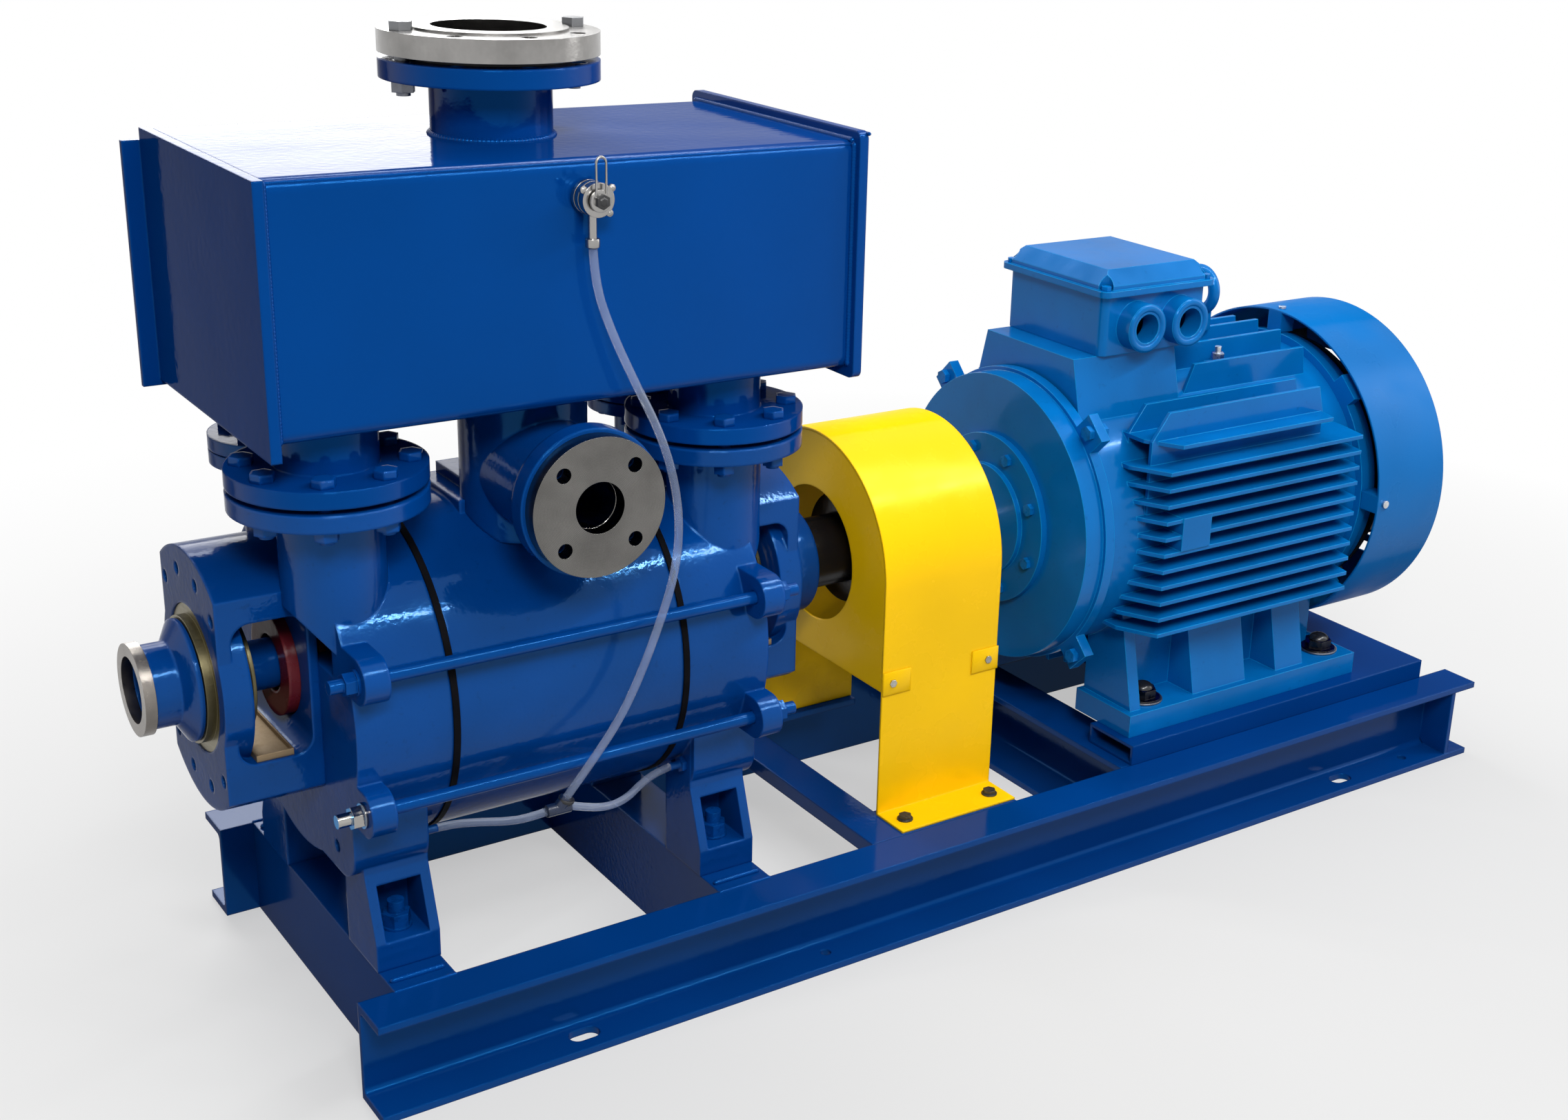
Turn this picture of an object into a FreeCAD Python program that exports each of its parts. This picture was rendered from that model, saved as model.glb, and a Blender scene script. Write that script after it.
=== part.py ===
import FreeCAD, Part
import math
import os

# Liquid ring vacuum pump on a skid, with separator tank, coupling guard and motor.
# Millimetres. X runs along the shaft, Y away from the viewer, Z up.
# The origin is on the floor, at the middle of the four foundation slots.

V = FreeCAD.Vector

# Clearances
seat_gap = 0.3
running_gap = 1.0
bore_clearance = 0.05
bolt_clearance = 1.0

# Base frame
base_length = 1872.0
base_width = 604.0
base_height = 128.0
channel_width = 62.0
channel_flange = 9.5
channel_web = 6.5
channel_root = 8.0
slot_spacing_x = 1336.0
slot_width = 24.0
slot_length = 40.0
drain_hole_d = 14.0
drain_hole_x = (-315.0, 814.0)
end_plate_inset = 42.0
end_plate_t = 8.0
cross_width = 76.0
motor_cross_x = (258.0, 818.0)
guard_bar_width = 55.0
guard_bar_height = 22.0

# Shaft line
shaft_z = 458.0
shaft_r = 30.0
keyed_r = 34.0

# Pump
pump_x = -638.0
casing_r = 205.0
casing_drop = 30.0
casing_bore_r = 174.0
casing_length = 292.0
port_plate_t = 8.0
port_plate_r = 207.0
cover_length = 114.0
impeller_r = 139.0
impeller_hub_r = 58.0
blade_count = 14
blade_t = 5.0
blade_sweep = 24.0
casing_pad_width = 120.0
casing_pad_top = 640.0
casing_pad_length = 150.0

# Pump feet
leg_inset = 52.0
leg_width = 78.0
leg_face_y = 168.0
leg_back_y = 105.0
lobe_face_y = 176.0
lobe_bottom_z = 235.0
lobe_r = 42.0
lobe_hole_d = 16.0
lobe_hole_y = 122.0
lobe_hole_z = 266.0
foot_front_y = 195.0
foot_height = 36.0
pocket_wall = 12.0
pocket_depth = 40.0
foot_bolt_y = 160.0
foot_bolt_d = 20.0

# Tie rods
rod_d = 16.0
rod_y = 215.0
rod_dz = 81.0
rod_ear_t = 29.0
rod_ear_r = 27.0
rod_end = 16.0
washer_r = 15.0
washer_t = 3.0

# Branch flanges: outside diameter, bolt circle, bolt count, hole, plate thickness
dn100 = (220.0, 180.0, 8, 18.0, 20.0)
dn32 = (140.0, 100.0, 4, 18.0, 16.0)
dn50 = (165.0, 125.0, 4, 18.0, 20.0)
dn125 = (250.0, 210.0, 8, 18.0, 26.0)
branch_inset = 22.0
branch_y = 103.0
branch_pipe_d = 114.3
branch_pipe_bore = 106.0
branch_bore = 90.0
branch_column_d = 118.0
column_low = 520.0
column_high = 640.0
branch_flange_z = 680.0
branch_gasket_t = 7.0
rear_column_d = 70.0
rear_branch_y = 84.0
blank_gasket_t = 2.0
m16_flats = 24.0
m16_head = 10.0
m16_nut = 13.0

# Bearing brackets
bracket_length = 112.0
bracket_r = 156.0
bracket_flat_y = 96.0
bracket_plate = 16.0
window_width = 85.0
window_height = 172.0
window_rise = 7.0
window_corner = 22.0
boss_r = 108.0
boss_length = 33.0
recess_r = 88.0
recess_depth = 8.0
bearing_r = 65.0
bracket_holes = ((82.0, 98.0), (33.0, 124.0))
bracket_hole_d = 16.0
gold_ring_r = 70.0
gold_ring_t = 12.0
packing_r = 64.0
packing_length = 24.0
tray_t = 2.0
tray_height = 8.0
packing_flange_r = 74.0
packing_flange_t = 8.0
packing_seat = 20.0

# Free shaft end and coupling
end_ring_r = 75.0
end_ring_t = 9.0
end_cap_r = 72.0
end_hub_r = 49.0
end_hub_length = 47.0
end_cap_length = 18.0
rim_r = 54.0
rim_t = 13.0
rim_bore_r = 39.0
bearing_cap_r = 75.0
bearing_cap_t = 38.0
outer_boss_t = 14.0
hub_r = 49.0
hub_disc_r = 78.0
hub_disc_t = 15.0
hub_face_x = -110.0
elastic_t = 14.0
elastic_r = 74.0
hub_gap = 3.0
motor_hub_length = 101.0

# Coupling guard
guard_x0 = -170.0
guard_x1 = 24.0
guard_t = 3.0
guard_foot_web_gap = 4.0
guard_foot_reach = 60.0
guard_bolt_hole_r = 5.5
tab_hole_r = 3.5
guard_end_bottom = 312.0
guard_hole_r = 95.0
guard_tab = 32.0
guard_bolt_inset = 16.0
guard_foot_bolt_inset = 24.0
guard_rest_t = 10.0
guard_end_inset = 0.5

# Separator tank
tank_x0 = -979.0
tank_x1 = -248.0
tank_front = -200.0
tank_rear = 170.0
tank_z0 = 780.5
tank_z1 = 1057.0
tank_wall = 6.0
tank_corner = 14.0
tank_end_t = 12.0
left_lip = 15.0
left_overhang = 6.0
right_lip = 12.0
rear_plate_t = 8.0
rear_plate_lip = 22.0
rear_plate_left = 20.0

# Top outlet
outlet_x = -630.0
neck_d = 139.7
neck_bore = 131.0
neck_flange_z = 1120.7
neck_flange_t = 22.0
outlet_gap = 6.3
outlet_gasket_r = 96.0
loose_ring_r = 90.0
loose_ring_t = 3.0

# Suction body and its front flange
suction_x = -630.0
suction_z = 677.0
suction_face_y = -258.0
suction_neck_r = 76.0
suction_neck_y = -62.0
suction_body_r = 70.0
suction_wall = 14.0
suction_ring_d = 175.0
suction_ring_t = 25.0
suction_bore_r = 30.5
suction_low = 600.0
stud_room = 24.0

# Motor sub-frame
rails_x0 = 238.0
rails_x1 = 870.0
rail_overlap = 2.0
rail_width = 95.0
rail_height = 31.0
rail_wall = 5.0

# Motor
motor_foot_x0 = 252.0
motor_foot_x1 = 730.0
foot_step = 25.0
motor_foot_t = 35.0
motor_foot_bolt_x = (312.0, 690.0)
foot_bolt_inset = 42.0
motor_bolt_d = 24.0
foot_web_x = (262.0, 690.0)
foot_web_inset = 69.0
gusset_x = ((262.0, 282.0), (388.0, 498.0), (564.0, 624.0))
gusset_lean = 49.0
gusset_top_z = 352.0
frame_x0 = 192.0
frame_x1 = 698.0
frame_r = 205.0
frame_wall = 12.0
fin_tip = 242.0
fin_x0 = 237.0
fin_x1 = 670.0
side_fin_count = 11
side_fin_top = 113.0
side_fin_pitch = 24.4
fin_t = 6.0
fin_slope_left = 30.0
fin_slope_right = 12.0
shelf_rise = 148.0
shelf_x = (262.0, 606.0)
plate_fin_y = 150.0
plate_fin_top = 190.0
bottom_fin_pitch = 40.0
sensor_pad_x = (297.0, 352.0)
sensor_pad_z = (452.0, 502.0)
top_fin_count = 9
top_fin_pitch = 25.0
shield_x0 = 145.0
shield_r = 218.0
shield_rim_t = 16.0
shield_ear_r = 250.0
rear_ear_r = 236.0
shield_ear_width = 44.0
cap_r = 126.0
cap_t = 10.0
inner_cap_r = 82.0
inner_cap_t = 8.0
motor_bearing_r = 70.0
motor_bearing_w = 32.0
rear_shield_t = 36.0
stator_r = 192.0
stator_bore_r = 121.0
rotor_r = 120.0
core_length = 300.0
core_x = 440.0
fan_r = 206.0
fan_blades = 9
fan_cover_r = 253.0
fan_cover_t = 3.0
fan_cover_x1 = 880.0
fan_cover_chamfer = 34.0

# Terminal box
pedestal_x = (196.0, 388.0)
pedestal_half = 98.0
pedestal_flare = 26.0
pedestal_top = 712.0
box_x = (238.0, 435.0)
box_half = 107.0
box_z = (712.3, 799.0)
box_wall = 6.0
lid_x = (228.0, 445.0)
lid_half = 118.0
lid_flange = 9.0
lid_top_z = 834.0
lid_chamfer = 20.0
lid_screw_inset = 13.0
entry_x = (299.0, 382.0)
entry_z = 753.0
entry_r = 35.0
entry_bore_r = 21.0
entry_length = 27.0

# Lifting eye and earth stud
eye_x = 528.0
eye_z = 760.0
eye_r = 30.0
eye_wire_r = 9.0
earth_x = 500.0
earth_y = -78.0
earth_boss_half = 14.0
earth_boss_top = 668.0

# Small valve and hose
valve_x = -614.0
valve_z = 1017.0
valve_r = 19.0
valve_length = 32.0
valve_pipe_r = 8.0
valve_drop = 46.0
hose_od = 10.0
hose_bore = 7.0
tee_r = 7.5
barb_r = 5.0
barb_reach = 20.0

# Values that follow from those above
half_width = base_width / 2
slot_y = half_width - 30.0
inner_y = half_width - channel_width
guard_foot_y = inner_y - guard_foot_web_gap
guard_r = guard_foot_y - guard_foot_reach
rails_half = inner_y + rail_overlap
motor_foot_y = rails_half - foot_step
motor_foot_bolt_y = motor_foot_y - foot_bolt_inset
foot_web_y = motor_foot_y - foot_web_inset
gusset_top_y = motor_foot_y - gusset_lean
casing_z = shaft_z - casing_drop
plate_inner = casing_length / 2
plate_outer = plate_inner + port_plate_t
cover_outer = plate_outer + cover_length
leg_offset = cover_outer - leg_inset
branch_offset = cover_outer - branch_inset
foot_top = base_height + foot_height
gasket_z = branch_flange_z + dn100[4]
upper_flange_z = gasket_z + branch_gasket_t
outlet_flange_z = neck_flange_z + neck_flange_t + outlet_gap
rails_top = base_height + rail_height
foot_pad_top = rails_top + motor_foot_t
left_bracket_face = pump_x - cover_outer - bracket_length
right_bracket_face = pump_x + cover_outer + bracket_length
pump_hub_x = right_bracket_face + outer_boss_t + bearing_cap_t + hub_gap
parts = {}


def keep(name, *shapes):
    """Store the solids of one sub-part under its name."""
    solids = []
    for shape in shapes:
        solids.extend(shape.Solids)
    parts[name] = solids[0] if len(solids) == 1 else Part.makeCompound(solids)


def block(x0, x1, y0, y1, z0, z1):
    return Part.makeBox(x1 - x0, y1 - y0, z1 - z0, V(x0, y0, z0))


def rod_x(r, x0, x1, y=0.0, z=shaft_z):
    return Part.makeCylinder(r, x1 - x0, V(x0, y, z), V(1, 0, 0))


def rod_y_axis(r, y0, y1, x, z):
    return Part.makeCylinder(r, y1 - y0, V(x, y0, z), V(0, 1, 0))


def rod_z(r, z0, z1, x, y):
    return Part.makeCylinder(r, z1 - z0, V(x, y, z0), V(0, 0, 1))


def ring_x(outer, inner, x0, x1, y=0.0, z=shaft_z):
    return rod_x(outer, x0, x1, y, z).cut(rod_x(inner, x0 - 1, x1 + 1, y, z))


def ring_z(outer, inner, z0, z1, x, y):
    return rod_z(outer, z0, z1, x, y).cut(rod_z(inner, z0 - 1, z1 + 1, x, y))


def prism(points, direction):
    """Extrude the closed outline through the given points."""
    outline = Part.makePolygon([V(*p) for p in points] + [V(*points[0])])
    return Part.Face(outline).extrude(V(*direction))


def join(shapes):
    """Fuse a list of solids into one and drop the seams."""
    whole = shapes[0]
    if len(shapes) > 1:
        whole = shapes[0].multiFuse(shapes[1:])
    return whole.removeSplitter()


def hexagon(flats, height, base, axis):
    """Hexagonal nut or head; base is the centre of its first face."""
    r = flats / math.sqrt(3)
    points = []
    for i in range(6):
        a = math.radians(60 * i)
        points.append((r * math.cos(a), r * math.sin(a), 0))
    nut = prism(points, (0, 0, height))
    nut.Placement = FreeCAD.Placement(base, FreeCAD.Rotation(V(0, 0, 1), axis))
    return nut


def cylinder(r, height, base, axis):
    return Part.makeCylinder(r, height, base, axis)


def bolt(d, flats, head, grip, nut, base, axis):
    """Bolt with its head on base, running against axis through grip, with a nut."""
    far = base - axis * grip
    body = [hexagon(flats, head, base, axis)]
    body.append(cylinder(d / 2, grip + nut + 4, far - axis * (nut + 4), axis))
    body.append(hexagon(flats, nut, far - axis * nut, axis))
    return join(body)


def screw(d, flats, head, length, base, axis):
    """Screw with its head on base and no nut."""
    shank = cylinder(d / 2, length, base - axis * length, axis)
    return join([hexagon(flats, head, base, axis), shank])


def circle_points(centre, pcd, count, axis, start):
    """Hole centres on a bolt circle about a line along X, Y or Z."""
    points = []
    for i in range(round(count)):
        a = math.radians(start + 360.0 * i / round(count))
        u = pcd / 2 * math.cos(a)
        w = pcd / 2 * math.sin(a)
        if axis == "z":
            points.append(centre + V(u, w, 0))
        elif axis == "y":
            points.append(centre + V(u, 0, w))
        else:
            points.append(centre + V(0, u, w))
    return points


def drilled_flange(size, bore_d, centre, axis, start):
    """Round flange plate standing on centre, with a bore and bolt holes."""
    outside, pcd, count, hole, thick = size
    normal = {"x": V(1, 0, 0), "y": V(0, 1, 0), "z": V(0, 0, 1)}[axis]
    plate = cylinder(outside / 2, thick, centre, normal)
    cuts = []
    if bore_d:
        cuts.append(cylinder(bore_d / 2, thick + 2, centre - normal, normal))
    for p in circle_points(centre, pcd, count, axis, start):
        cuts.append(cylinder(hole / 2, thick + 2, p - normal, normal))
    return plate.cut(cuts)


def edges_where(shape, test):
    return [e for e in shape.Edges if test(e.CenterOfMass)]


def mirror_x(shape, x):
    return shape.mirror(V(x, 0, 0), V(1, 0, 0))


def mirror_y(shape):
    return shape.mirror(V(0, 0, 0), V(0, 1, 0))


# Base frame: two long channels that open outwards
def side_channel():
    """Front channel, lying along X, web towards the middle of the base."""
    outer = -half_width
    web_out = -inner_y - channel_web
    web_in = -inner_y
    low = channel_flange
    high = base_height - channel_flange
    outline = [
        (0, outer, 0),
        (0, web_in, 0),
        (0, web_in, base_height),
        (0, outer, base_height),
        (0, outer, high),
        (0, web_out, high),
        (0, web_out, low),
        (0, outer, low),
    ]
    body = prism(outline, (base_length, 0, 0))
    body.translate(V(-base_length / 2, 0, 0))

    def in_root(p):
        near_web = abs(p.y - web_out) < 0.1
        return near_web and (abs(p.z - low) < 0.1 or abs(p.z - high) < 0.1)

    body = body.makeFillet(channel_root, edges_where(body, in_root))
    cuts = []
    for sign in (-1, 1):
        x = sign * slot_spacing_x / 2
        half = (slot_length - slot_width) / 2
        cuts.append(rod_z(slot_width / 2, -1, channel_flange + 1, x - half, -slot_y))
        cuts.append(rod_z(slot_width / 2, -1, channel_flange + 1, x + half, -slot_y))
        cuts.append(block(x - half, x + half, -slot_y - slot_width / 2,
                          -slot_y + slot_width / 2, -1, channel_flange + 1))
    for x in drain_hole_x:
        cuts.append(rod_z(drain_hole_d / 2, -1, channel_flange + 1, x, -slot_y))
    return body.cut(cuts)


def cross_channel(centre_x, opens):
    """Cross member between the webs; opens is +1 to the right or -1 to the left."""
    half = cross_width / 2
    low = channel_flange
    high = base_height - channel_flange
    outline = [
        (-half, 0, 0),
        (half, 0, 0),
        (half, 0, low),
        (-half + channel_web, 0, low),
        (-half + channel_web, 0, high),
        (half, 0, high),
        (half, 0, base_height),
        (-half, 0, base_height),
    ]
    body = prism(outline, (0, 2 * inner_y, 0))
    body.translate(V(0, -inner_y, 0))
    web_x = -half + channel_web
    body = body.makeFillet(channel_root, edges_where(
        body, lambda p: abs(p.x - web_x) < 0.1 and low - 0.1 < p.z < high + 0.1
        and (abs(p.z - low) < 0.1 or abs(p.z - high) < 0.1)))
    if opens < 0:
        body = mirror_x(body, 0)
    body.translate(V(centre_x, 0, 0))
    return body


front_channel = side_channel()
end_x = base_length / 2 - end_plate_inset
end_plate = block(end_x - end_plate_t, end_x, -half_width + 2, -inner_y - channel_web,
                  channel_flange, base_height - channel_flange)
end_plate = end_plate.makeChamfer(channel_root, edges_where(
    end_plate, lambda p: abs(p.y + inner_y + channel_web) < 0.1
    and (abs(p.z - channel_flange) < 0.1 or abs(p.z - base_height + channel_flange) < 0.1)))
keep("base_channel_front", front_channel, end_plate)
keep("base_channel_rear", mirror_y(front_channel), mirror_y(end_plate))

foot_hole_r = (foot_bolt_d + bolt_clearance) / 2


def foot_centres():
    """Pump foot bolt positions, left pair first."""
    return [(pump_x + sx * leg_offset, sy * foot_bolt_y)
            for sx in (-1, 1) for sy in (-1, 1)]


def pump_cross(side):
    x = pump_x + side * leg_offset
    body = cross_channel(x, 1)
    holes = [rod_z(foot_hole_r, base_height - channel_flange - 1, base_height + 1, x, y)
             for y in (-foot_bolt_y, foot_bolt_y)]
    return body.cut(holes)


keep("cross_channels_pump", pump_cross(-1), pump_cross(1))

guard_bar_x = guard_x0 + guard_t - guard_bar_width
guard_bar = block(guard_bar_x, guard_bar_x + guard_bar_width, -inner_y, inner_y,
                  base_height - guard_bar_height, base_height)
guard_foot_bolt_y = (guard_r + guard_foot_y) / 2 + 2


def guard_rest(sign):
    """Plate welded to the channel web under one foot of the guard."""
    low, high = sorted((sign * (guard_r - 14), sign * inner_y))
    plate = block(guard_bar_x + guard_bar_width, guard_x1, low, high,
                  base_height - guard_rest_t, base_height)
    holes = [rod_z(guard_bolt_hole_r, base_height - guard_rest_t - 1, base_height + 1, x,
                   sign * guard_foot_bolt_y)
             for x in (guard_x0 + guard_foot_bolt_inset, guard_x1 - guard_foot_bolt_inset)]
    return plate.cut(holes)


keep("guard_cross_bar", join([guard_bar, guard_rest(-1), guard_rest(1)]))
keep("cross_channels_motor", cross_channel(motor_cross_x[0], -1),
     cross_channel(motor_cross_x[1], 1))


# Pump casing and port plates
casing = rod_x(casing_r, pump_x - plate_inner, pump_x + plate_inner, 0, casing_z)
pad = block(pump_x - casing_pad_length / 2, pump_x + casing_pad_length / 2,
            -casing_pad_width / 2, casing_pad_width / 2, casing_z, casing_pad_top)
casing_bore = rod_x(casing_bore_r, pump_x - plate_inner - 1, pump_x + plate_inner + 1,
                    0, casing_z)
keep("pump_casing", join([casing, pad]).cut(casing_bore))


def port_plate(side):
    """Plate between casing and cover, with suction and delivery ports."""
    x0, x1 = sorted((pump_x + side * plate_inner, pump_x + side * plate_outer))
    shaft_hole = rod_x(keyed_r + running_gap, x0 - 1, x1 + 1)
    plate = rod_x(port_plate_r, x0, x1, 0, casing_z).cut(shaft_hole)
    ports = []
    for sign, reach in ((-1, 70.0), (1, 40.0)):
        band = ring_x(impeller_r - 30, impeller_hub_r + 8, x0 - 1, x1 + 1)
        low, high = sorted((sign * 12.0, sign * (12.0 + reach * 2)))
        window = block(x0 - 2, x1 + 2, low, high, shaft_z - 20, shaft_z + reach)
        ports.append(band.common(window))
    return plate.cut(ports)


keep("port_plates", port_plate(-1), port_plate(1))


# Side covers: end casting with two legs, tie rod ears and nozzle columns
def bracket_envelope(gap):
    """Outside of a bearing bracket on the left, from the cover outwards."""
    x1 = pump_x - cover_outer
    drum = rod_x(bracket_r + gap, x1 - bracket_length - gap, x1)
    flats = block(x1 - bracket_length - gap, x1, -bracket_flat_y - gap,
                  bracket_flat_y + gap, 0, 2 * shaft_z)
    return drum.common(flats)


def cover_leg(sign):
    """One leg with its foot, pocket and side ribs, on the left cover."""
    x0 = pump_x - leg_offset - leg_width / 2
    x1 = x0 + leg_width
    front = sign * foot_front_y
    face = sign * leg_face_y
    back = sign * leg_back_y
    outline = [
        (x0, front, base_height),
        (x0, front, foot_top),
        (x0, face, lobe_bottom_z + 8),
        (x0, face, casing_z - 100),
        (x0, back, casing_z - 100),
        (x0, back, base_height),
    ]
    leg = prism(outline, (leg_width, 0, 0))
    low, high = sorted((front + sign, front - sign * (foot_front_y - leg_face_y + pocket_depth)))
    pocket = block(x0 + pocket_wall, x1 - pocket_wall, low, high, foot_top, lobe_bottom_z - 6)
    hole = rod_z(foot_hole_r, base_height - 1, foot_top + 1, pump_x - leg_offset,
                 sign * foot_bolt_y)
    return leg.cut([pocket, hole])


def left_cover():
    x0 = pump_x - cover_outer
    x1 = pump_x - plate_outer
    body = [rod_x(casing_r, x0, x1, 0, casing_z)]
    skirt_inner = x0 + leg_width + 12
    skirt = block(x0, skirt_inner, -lobe_face_y, lobe_face_y, lobe_bottom_z, casing_z)
    skirt = skirt.makeFillet(lobe_r, edges_where(
        skirt, lambda p: abs(p.z - lobe_bottom_z) < 0.1 and abs(abs(p.y) - lobe_face_y) < 0.1))
    body.append(skirt)
    for sign in (-1, 1):
        body.append(cover_leg(sign))
        for dz in (-rod_dz, rod_dz):
            z = casing_z + dz
            ear = rod_x(rod_ear_r, x0, x0 + rod_ear_t, sign * rod_y, z)
            low, high = sorted((sign * rod_y, sign * (casing_r - 60)))
            root = block(x0, x0 + rod_ear_t, low, high, z - rod_ear_r, z + rod_ear_r)
            body.extend([ear, root])
    column_x = pump_x - branch_offset
    column = rod_z(branch_column_d / 2, casing_z, branch_flange_z + 1, column_x, -branch_y)
    slope = prism([
        (x0, -casing_r, column_low),
        (column_x - branch_column_d, -casing_r, column_high),
        (column_x - branch_column_d, -casing_r, 0),
        (x0, -casing_r, 0),
    ], (0, casing_r, 0))
    column = column.cut([slope, bracket_envelope(seat_gap)])
    rear_column = rod_z(rear_column_d / 2, casing_z, branch_flange_z + 1, column_x,
                        rear_branch_y).cut(bracket_envelope(seat_gap))
    body.extend([column, rear_column])
    whole = join(body)
    bores = [rod_z(branch_bore / 2, casing_z + 60, branch_flange_z + 2, column_x, -branch_y)]
    chamber = rod_x(branch_bore / 2, pump_x - branch_offset, x1 + 1, -branch_y, casing_z + 70)
    bores.append(chamber)
    bores.append(rod_x(packing_flange_r + bore_clearance, x0 - 1, x0 + packing_seat))
    bores.append(rod_x(keyed_r + running_gap, x0, x1 + 1))
    for sign in (-1, 1):
        for dz in (-rod_dz, rod_dz):
            bores.append(rod_x((rod_d + bolt_clearance) / 2, x0 - 1, x0 + rod_ear_t + 1,
                               sign * rod_y, casing_z + dz))
        bores.append(rod_x(lobe_hole_d / 2, x0 - 1, skirt_inner + 1, sign * lobe_hole_y,
                           lobe_hole_z))
    whole = whole.cut(bores)
    flange = drilled_flange(dn100, branch_bore, V(column_x, -branch_y, branch_flange_z),
                            "z", 22.5)
    rear_flange = drilled_flange(dn32, None, V(column_x, rear_branch_y, branch_flange_z),
                                 "z", 45)
    return join([whole, flange, rear_flange])


cover = left_cover()
keep("pump_cover_left", cover)
keep("pump_cover_right", mirror_x(cover, pump_x))


def port_flange_parts():
    """Gaskets, bolts and blank plates on the flanges of both covers."""
    gaskets, bolts, blanks = [], [], []
    up = V(0, 0, 1)
    for side in (-1, 1):
        x = pump_x + side * branch_offset
        front = V(x, -branch_y, gasket_z)
        gasket_r = dn100[1] / 2 - dn100[3] / 2 - 2
        gaskets.append(ring_z(gasket_r, branch_bore / 2, gasket_z, upper_flange_z, x, -branch_y))
        grip = 2 * dn100[4] + branch_gasket_t
        top = V(x, -branch_y, upper_flange_z + dn100[4])
        for p in circle_points(top, dn100[1], dn100[2], "z", 22.5):
            bolts.append(bolt(16, m16_flats, m16_head, grip, m16_nut, p, up))
        blank_z = branch_flange_z + dn32[4] + blank_gasket_t
        blank = drilled_flange(dn32, None, V(x, rear_branch_y, blank_z), "z", 45)
        shim = rod_z(dn32[1] / 2 - 12, branch_flange_z + dn32[4], blank_z, x, rear_branch_y)
        blanks.append(join([blank, shim]))
        top = V(x, rear_branch_y, blank_z + dn32[4])
        grip = 2 * dn32[4] + blank_gasket_t
        for p in circle_points(top, dn32[1], dn32[2], "z", 45):
            bolts.append(bolt(16, m16_flats, m16_head, grip, m16_nut, p, up))
    keep("port_blanks", *blanks)
    keep("port_bolts", *bolts)
    return gaskets


port_gaskets = port_flange_parts()


def tie_rods():
    rods = []
    reach = cover_outer + washer_t + m16_nut + rod_end
    for sy in (-1, 1):
        for dz in (-rod_dz, rod_dz):
            y = sy * rod_y
            z = casing_z + dz
            rod = [rod_x(rod_d / 2, pump_x - reach, pump_x + reach, y, z)]
            for side in (-1, 1):
                face = V(pump_x + side * cover_outer, y, z)
                out = V(side, 0, 0)
                rod.append(cylinder(washer_r, washer_t, face, out))
                rod.append(hexagon(m16_flats, m16_nut, face + out * washer_t, out))
            rods.append(join(rod))
    keep("tie_rods", *rods)


tie_rods()


def pump_foot_bolts():
    bolts = []
    up = V(0, 0, 1)
    for x, y in foot_centres():
        stud = rod_z(foot_bolt_d / 2, base_height - channel_flange - 24, foot_top + 34, x, y)
        washer = rod_z(18, foot_top, foot_top + 3, x, y)
        nut = hexagon(30, 16, V(x, y, foot_top + 3), up)
        lower = hexagon(30, 16, V(x, y, base_height - channel_flange - 16), up)
        bolts.append(join([stud, washer, nut, lower]))
    return bolts


# Bearing brackets, bolted to the covers, with a through window in both flats
def left_bracket():
    x1 = pump_x - cover_outer
    x0 = left_bracket_face
    boss = rod_x(boss_r, x0, x0 + boss_length)
    window_x0 = x0 + bracket_plate
    window = block(window_x0, window_x0 + window_width, -200, 200,
                   shaft_z + window_rise - window_height / 2,
                   shaft_z + window_rise + window_height / 2)
    window = window.makeFillet(window_corner, edges_where(window, lambda p: abs(p.y) < 0.1))
    shell = bracket_envelope(0).cut(window)
    body = join([shell, boss])
    cuts = [rod_x(bearing_r + bore_clearance, x0 + recess_depth - 1, x0 + boss_length - 4)]
    cuts.append(rod_x(recess_r, x0 - 1, x0 + recess_depth))
    cuts.append(rod_x(shaft_r + 8, x0, x1 + 1))
    cuts.append(rod_x(packing_r + running_gap, window_x0 + window_width - 1, x1 + 1))
    for sy in (-1, 1):
        for sz in (-1, 1):
            for y, z in bracket_holes:
                cuts.append(rod_x(bracket_hole_d / 2, x0 - 1, x0 + bracket_plate + 1,
                                  sy * y, shaft_z + sz * z))
    return body.cut(cuts)


bracket = left_bracket()
keep("bearing_bracket_left", bracket)
right_bracket = mirror_x(bracket, pump_x)
outer_boss = ring_x(recess_r - bore_clearance, shaft_r + 8,
                    right_bracket_face - recess_depth,
                    right_bracket_face + outer_boss_t)
keep("bearing_bracket_right", right_bracket)


def bearing(x0, outer, width, inner=shaft_r):
    """Rolling bearing with a recess on both faces between its two rings."""
    race = (outer - inner) * 0.3
    ring = ring_x(outer, inner + bore_clearance, x0, x0 + width)
    near = ring_x(outer - race, inner + race, x0 - 1, x0 + 2)
    far = ring_x(outer - race, inner + race, x0 + width - 2, x0 + width + 1)
    return ring.cut([near, far])


bearing_left_x = left_bracket_face + recess_depth
bearing_slot = boss_length - 4 - recess_depth
pump_bearing = bearing(bearing_left_x, bearing_r, bearing_slot)

# Bearing covers: a plain ring at the free end, a deep cap at the drive end
left_ring = ring_x(end_ring_r, shaft_r + running_gap, left_bracket_face - end_ring_t,
                   left_bracket_face + recess_depth)
left_ring = left_ring.fuse(ring_x(recess_r - seat_gap, shaft_r + running_gap,
                                  left_bracket_face + 2, left_bracket_face + recess_depth))
keep("bearing_cover_left", left_ring.removeSplitter())
cap_x1 = right_bracket_face + outer_boss_t + bearing_cap_t
right_cap = ring_x(bearing_cap_r, shaft_r + running_gap, right_bracket_face + outer_boss_t,
                   cap_x1)
right_cap = right_cap.makeFillet(6, edges_where(right_cap, lambda p: abs(p.x - cap_x1) < 0.1
                                                and abs(p.z - shaft_z) < 0.1)[:1])
keep("bearing_cover_right", join([outer_boss, right_cap]))


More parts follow.
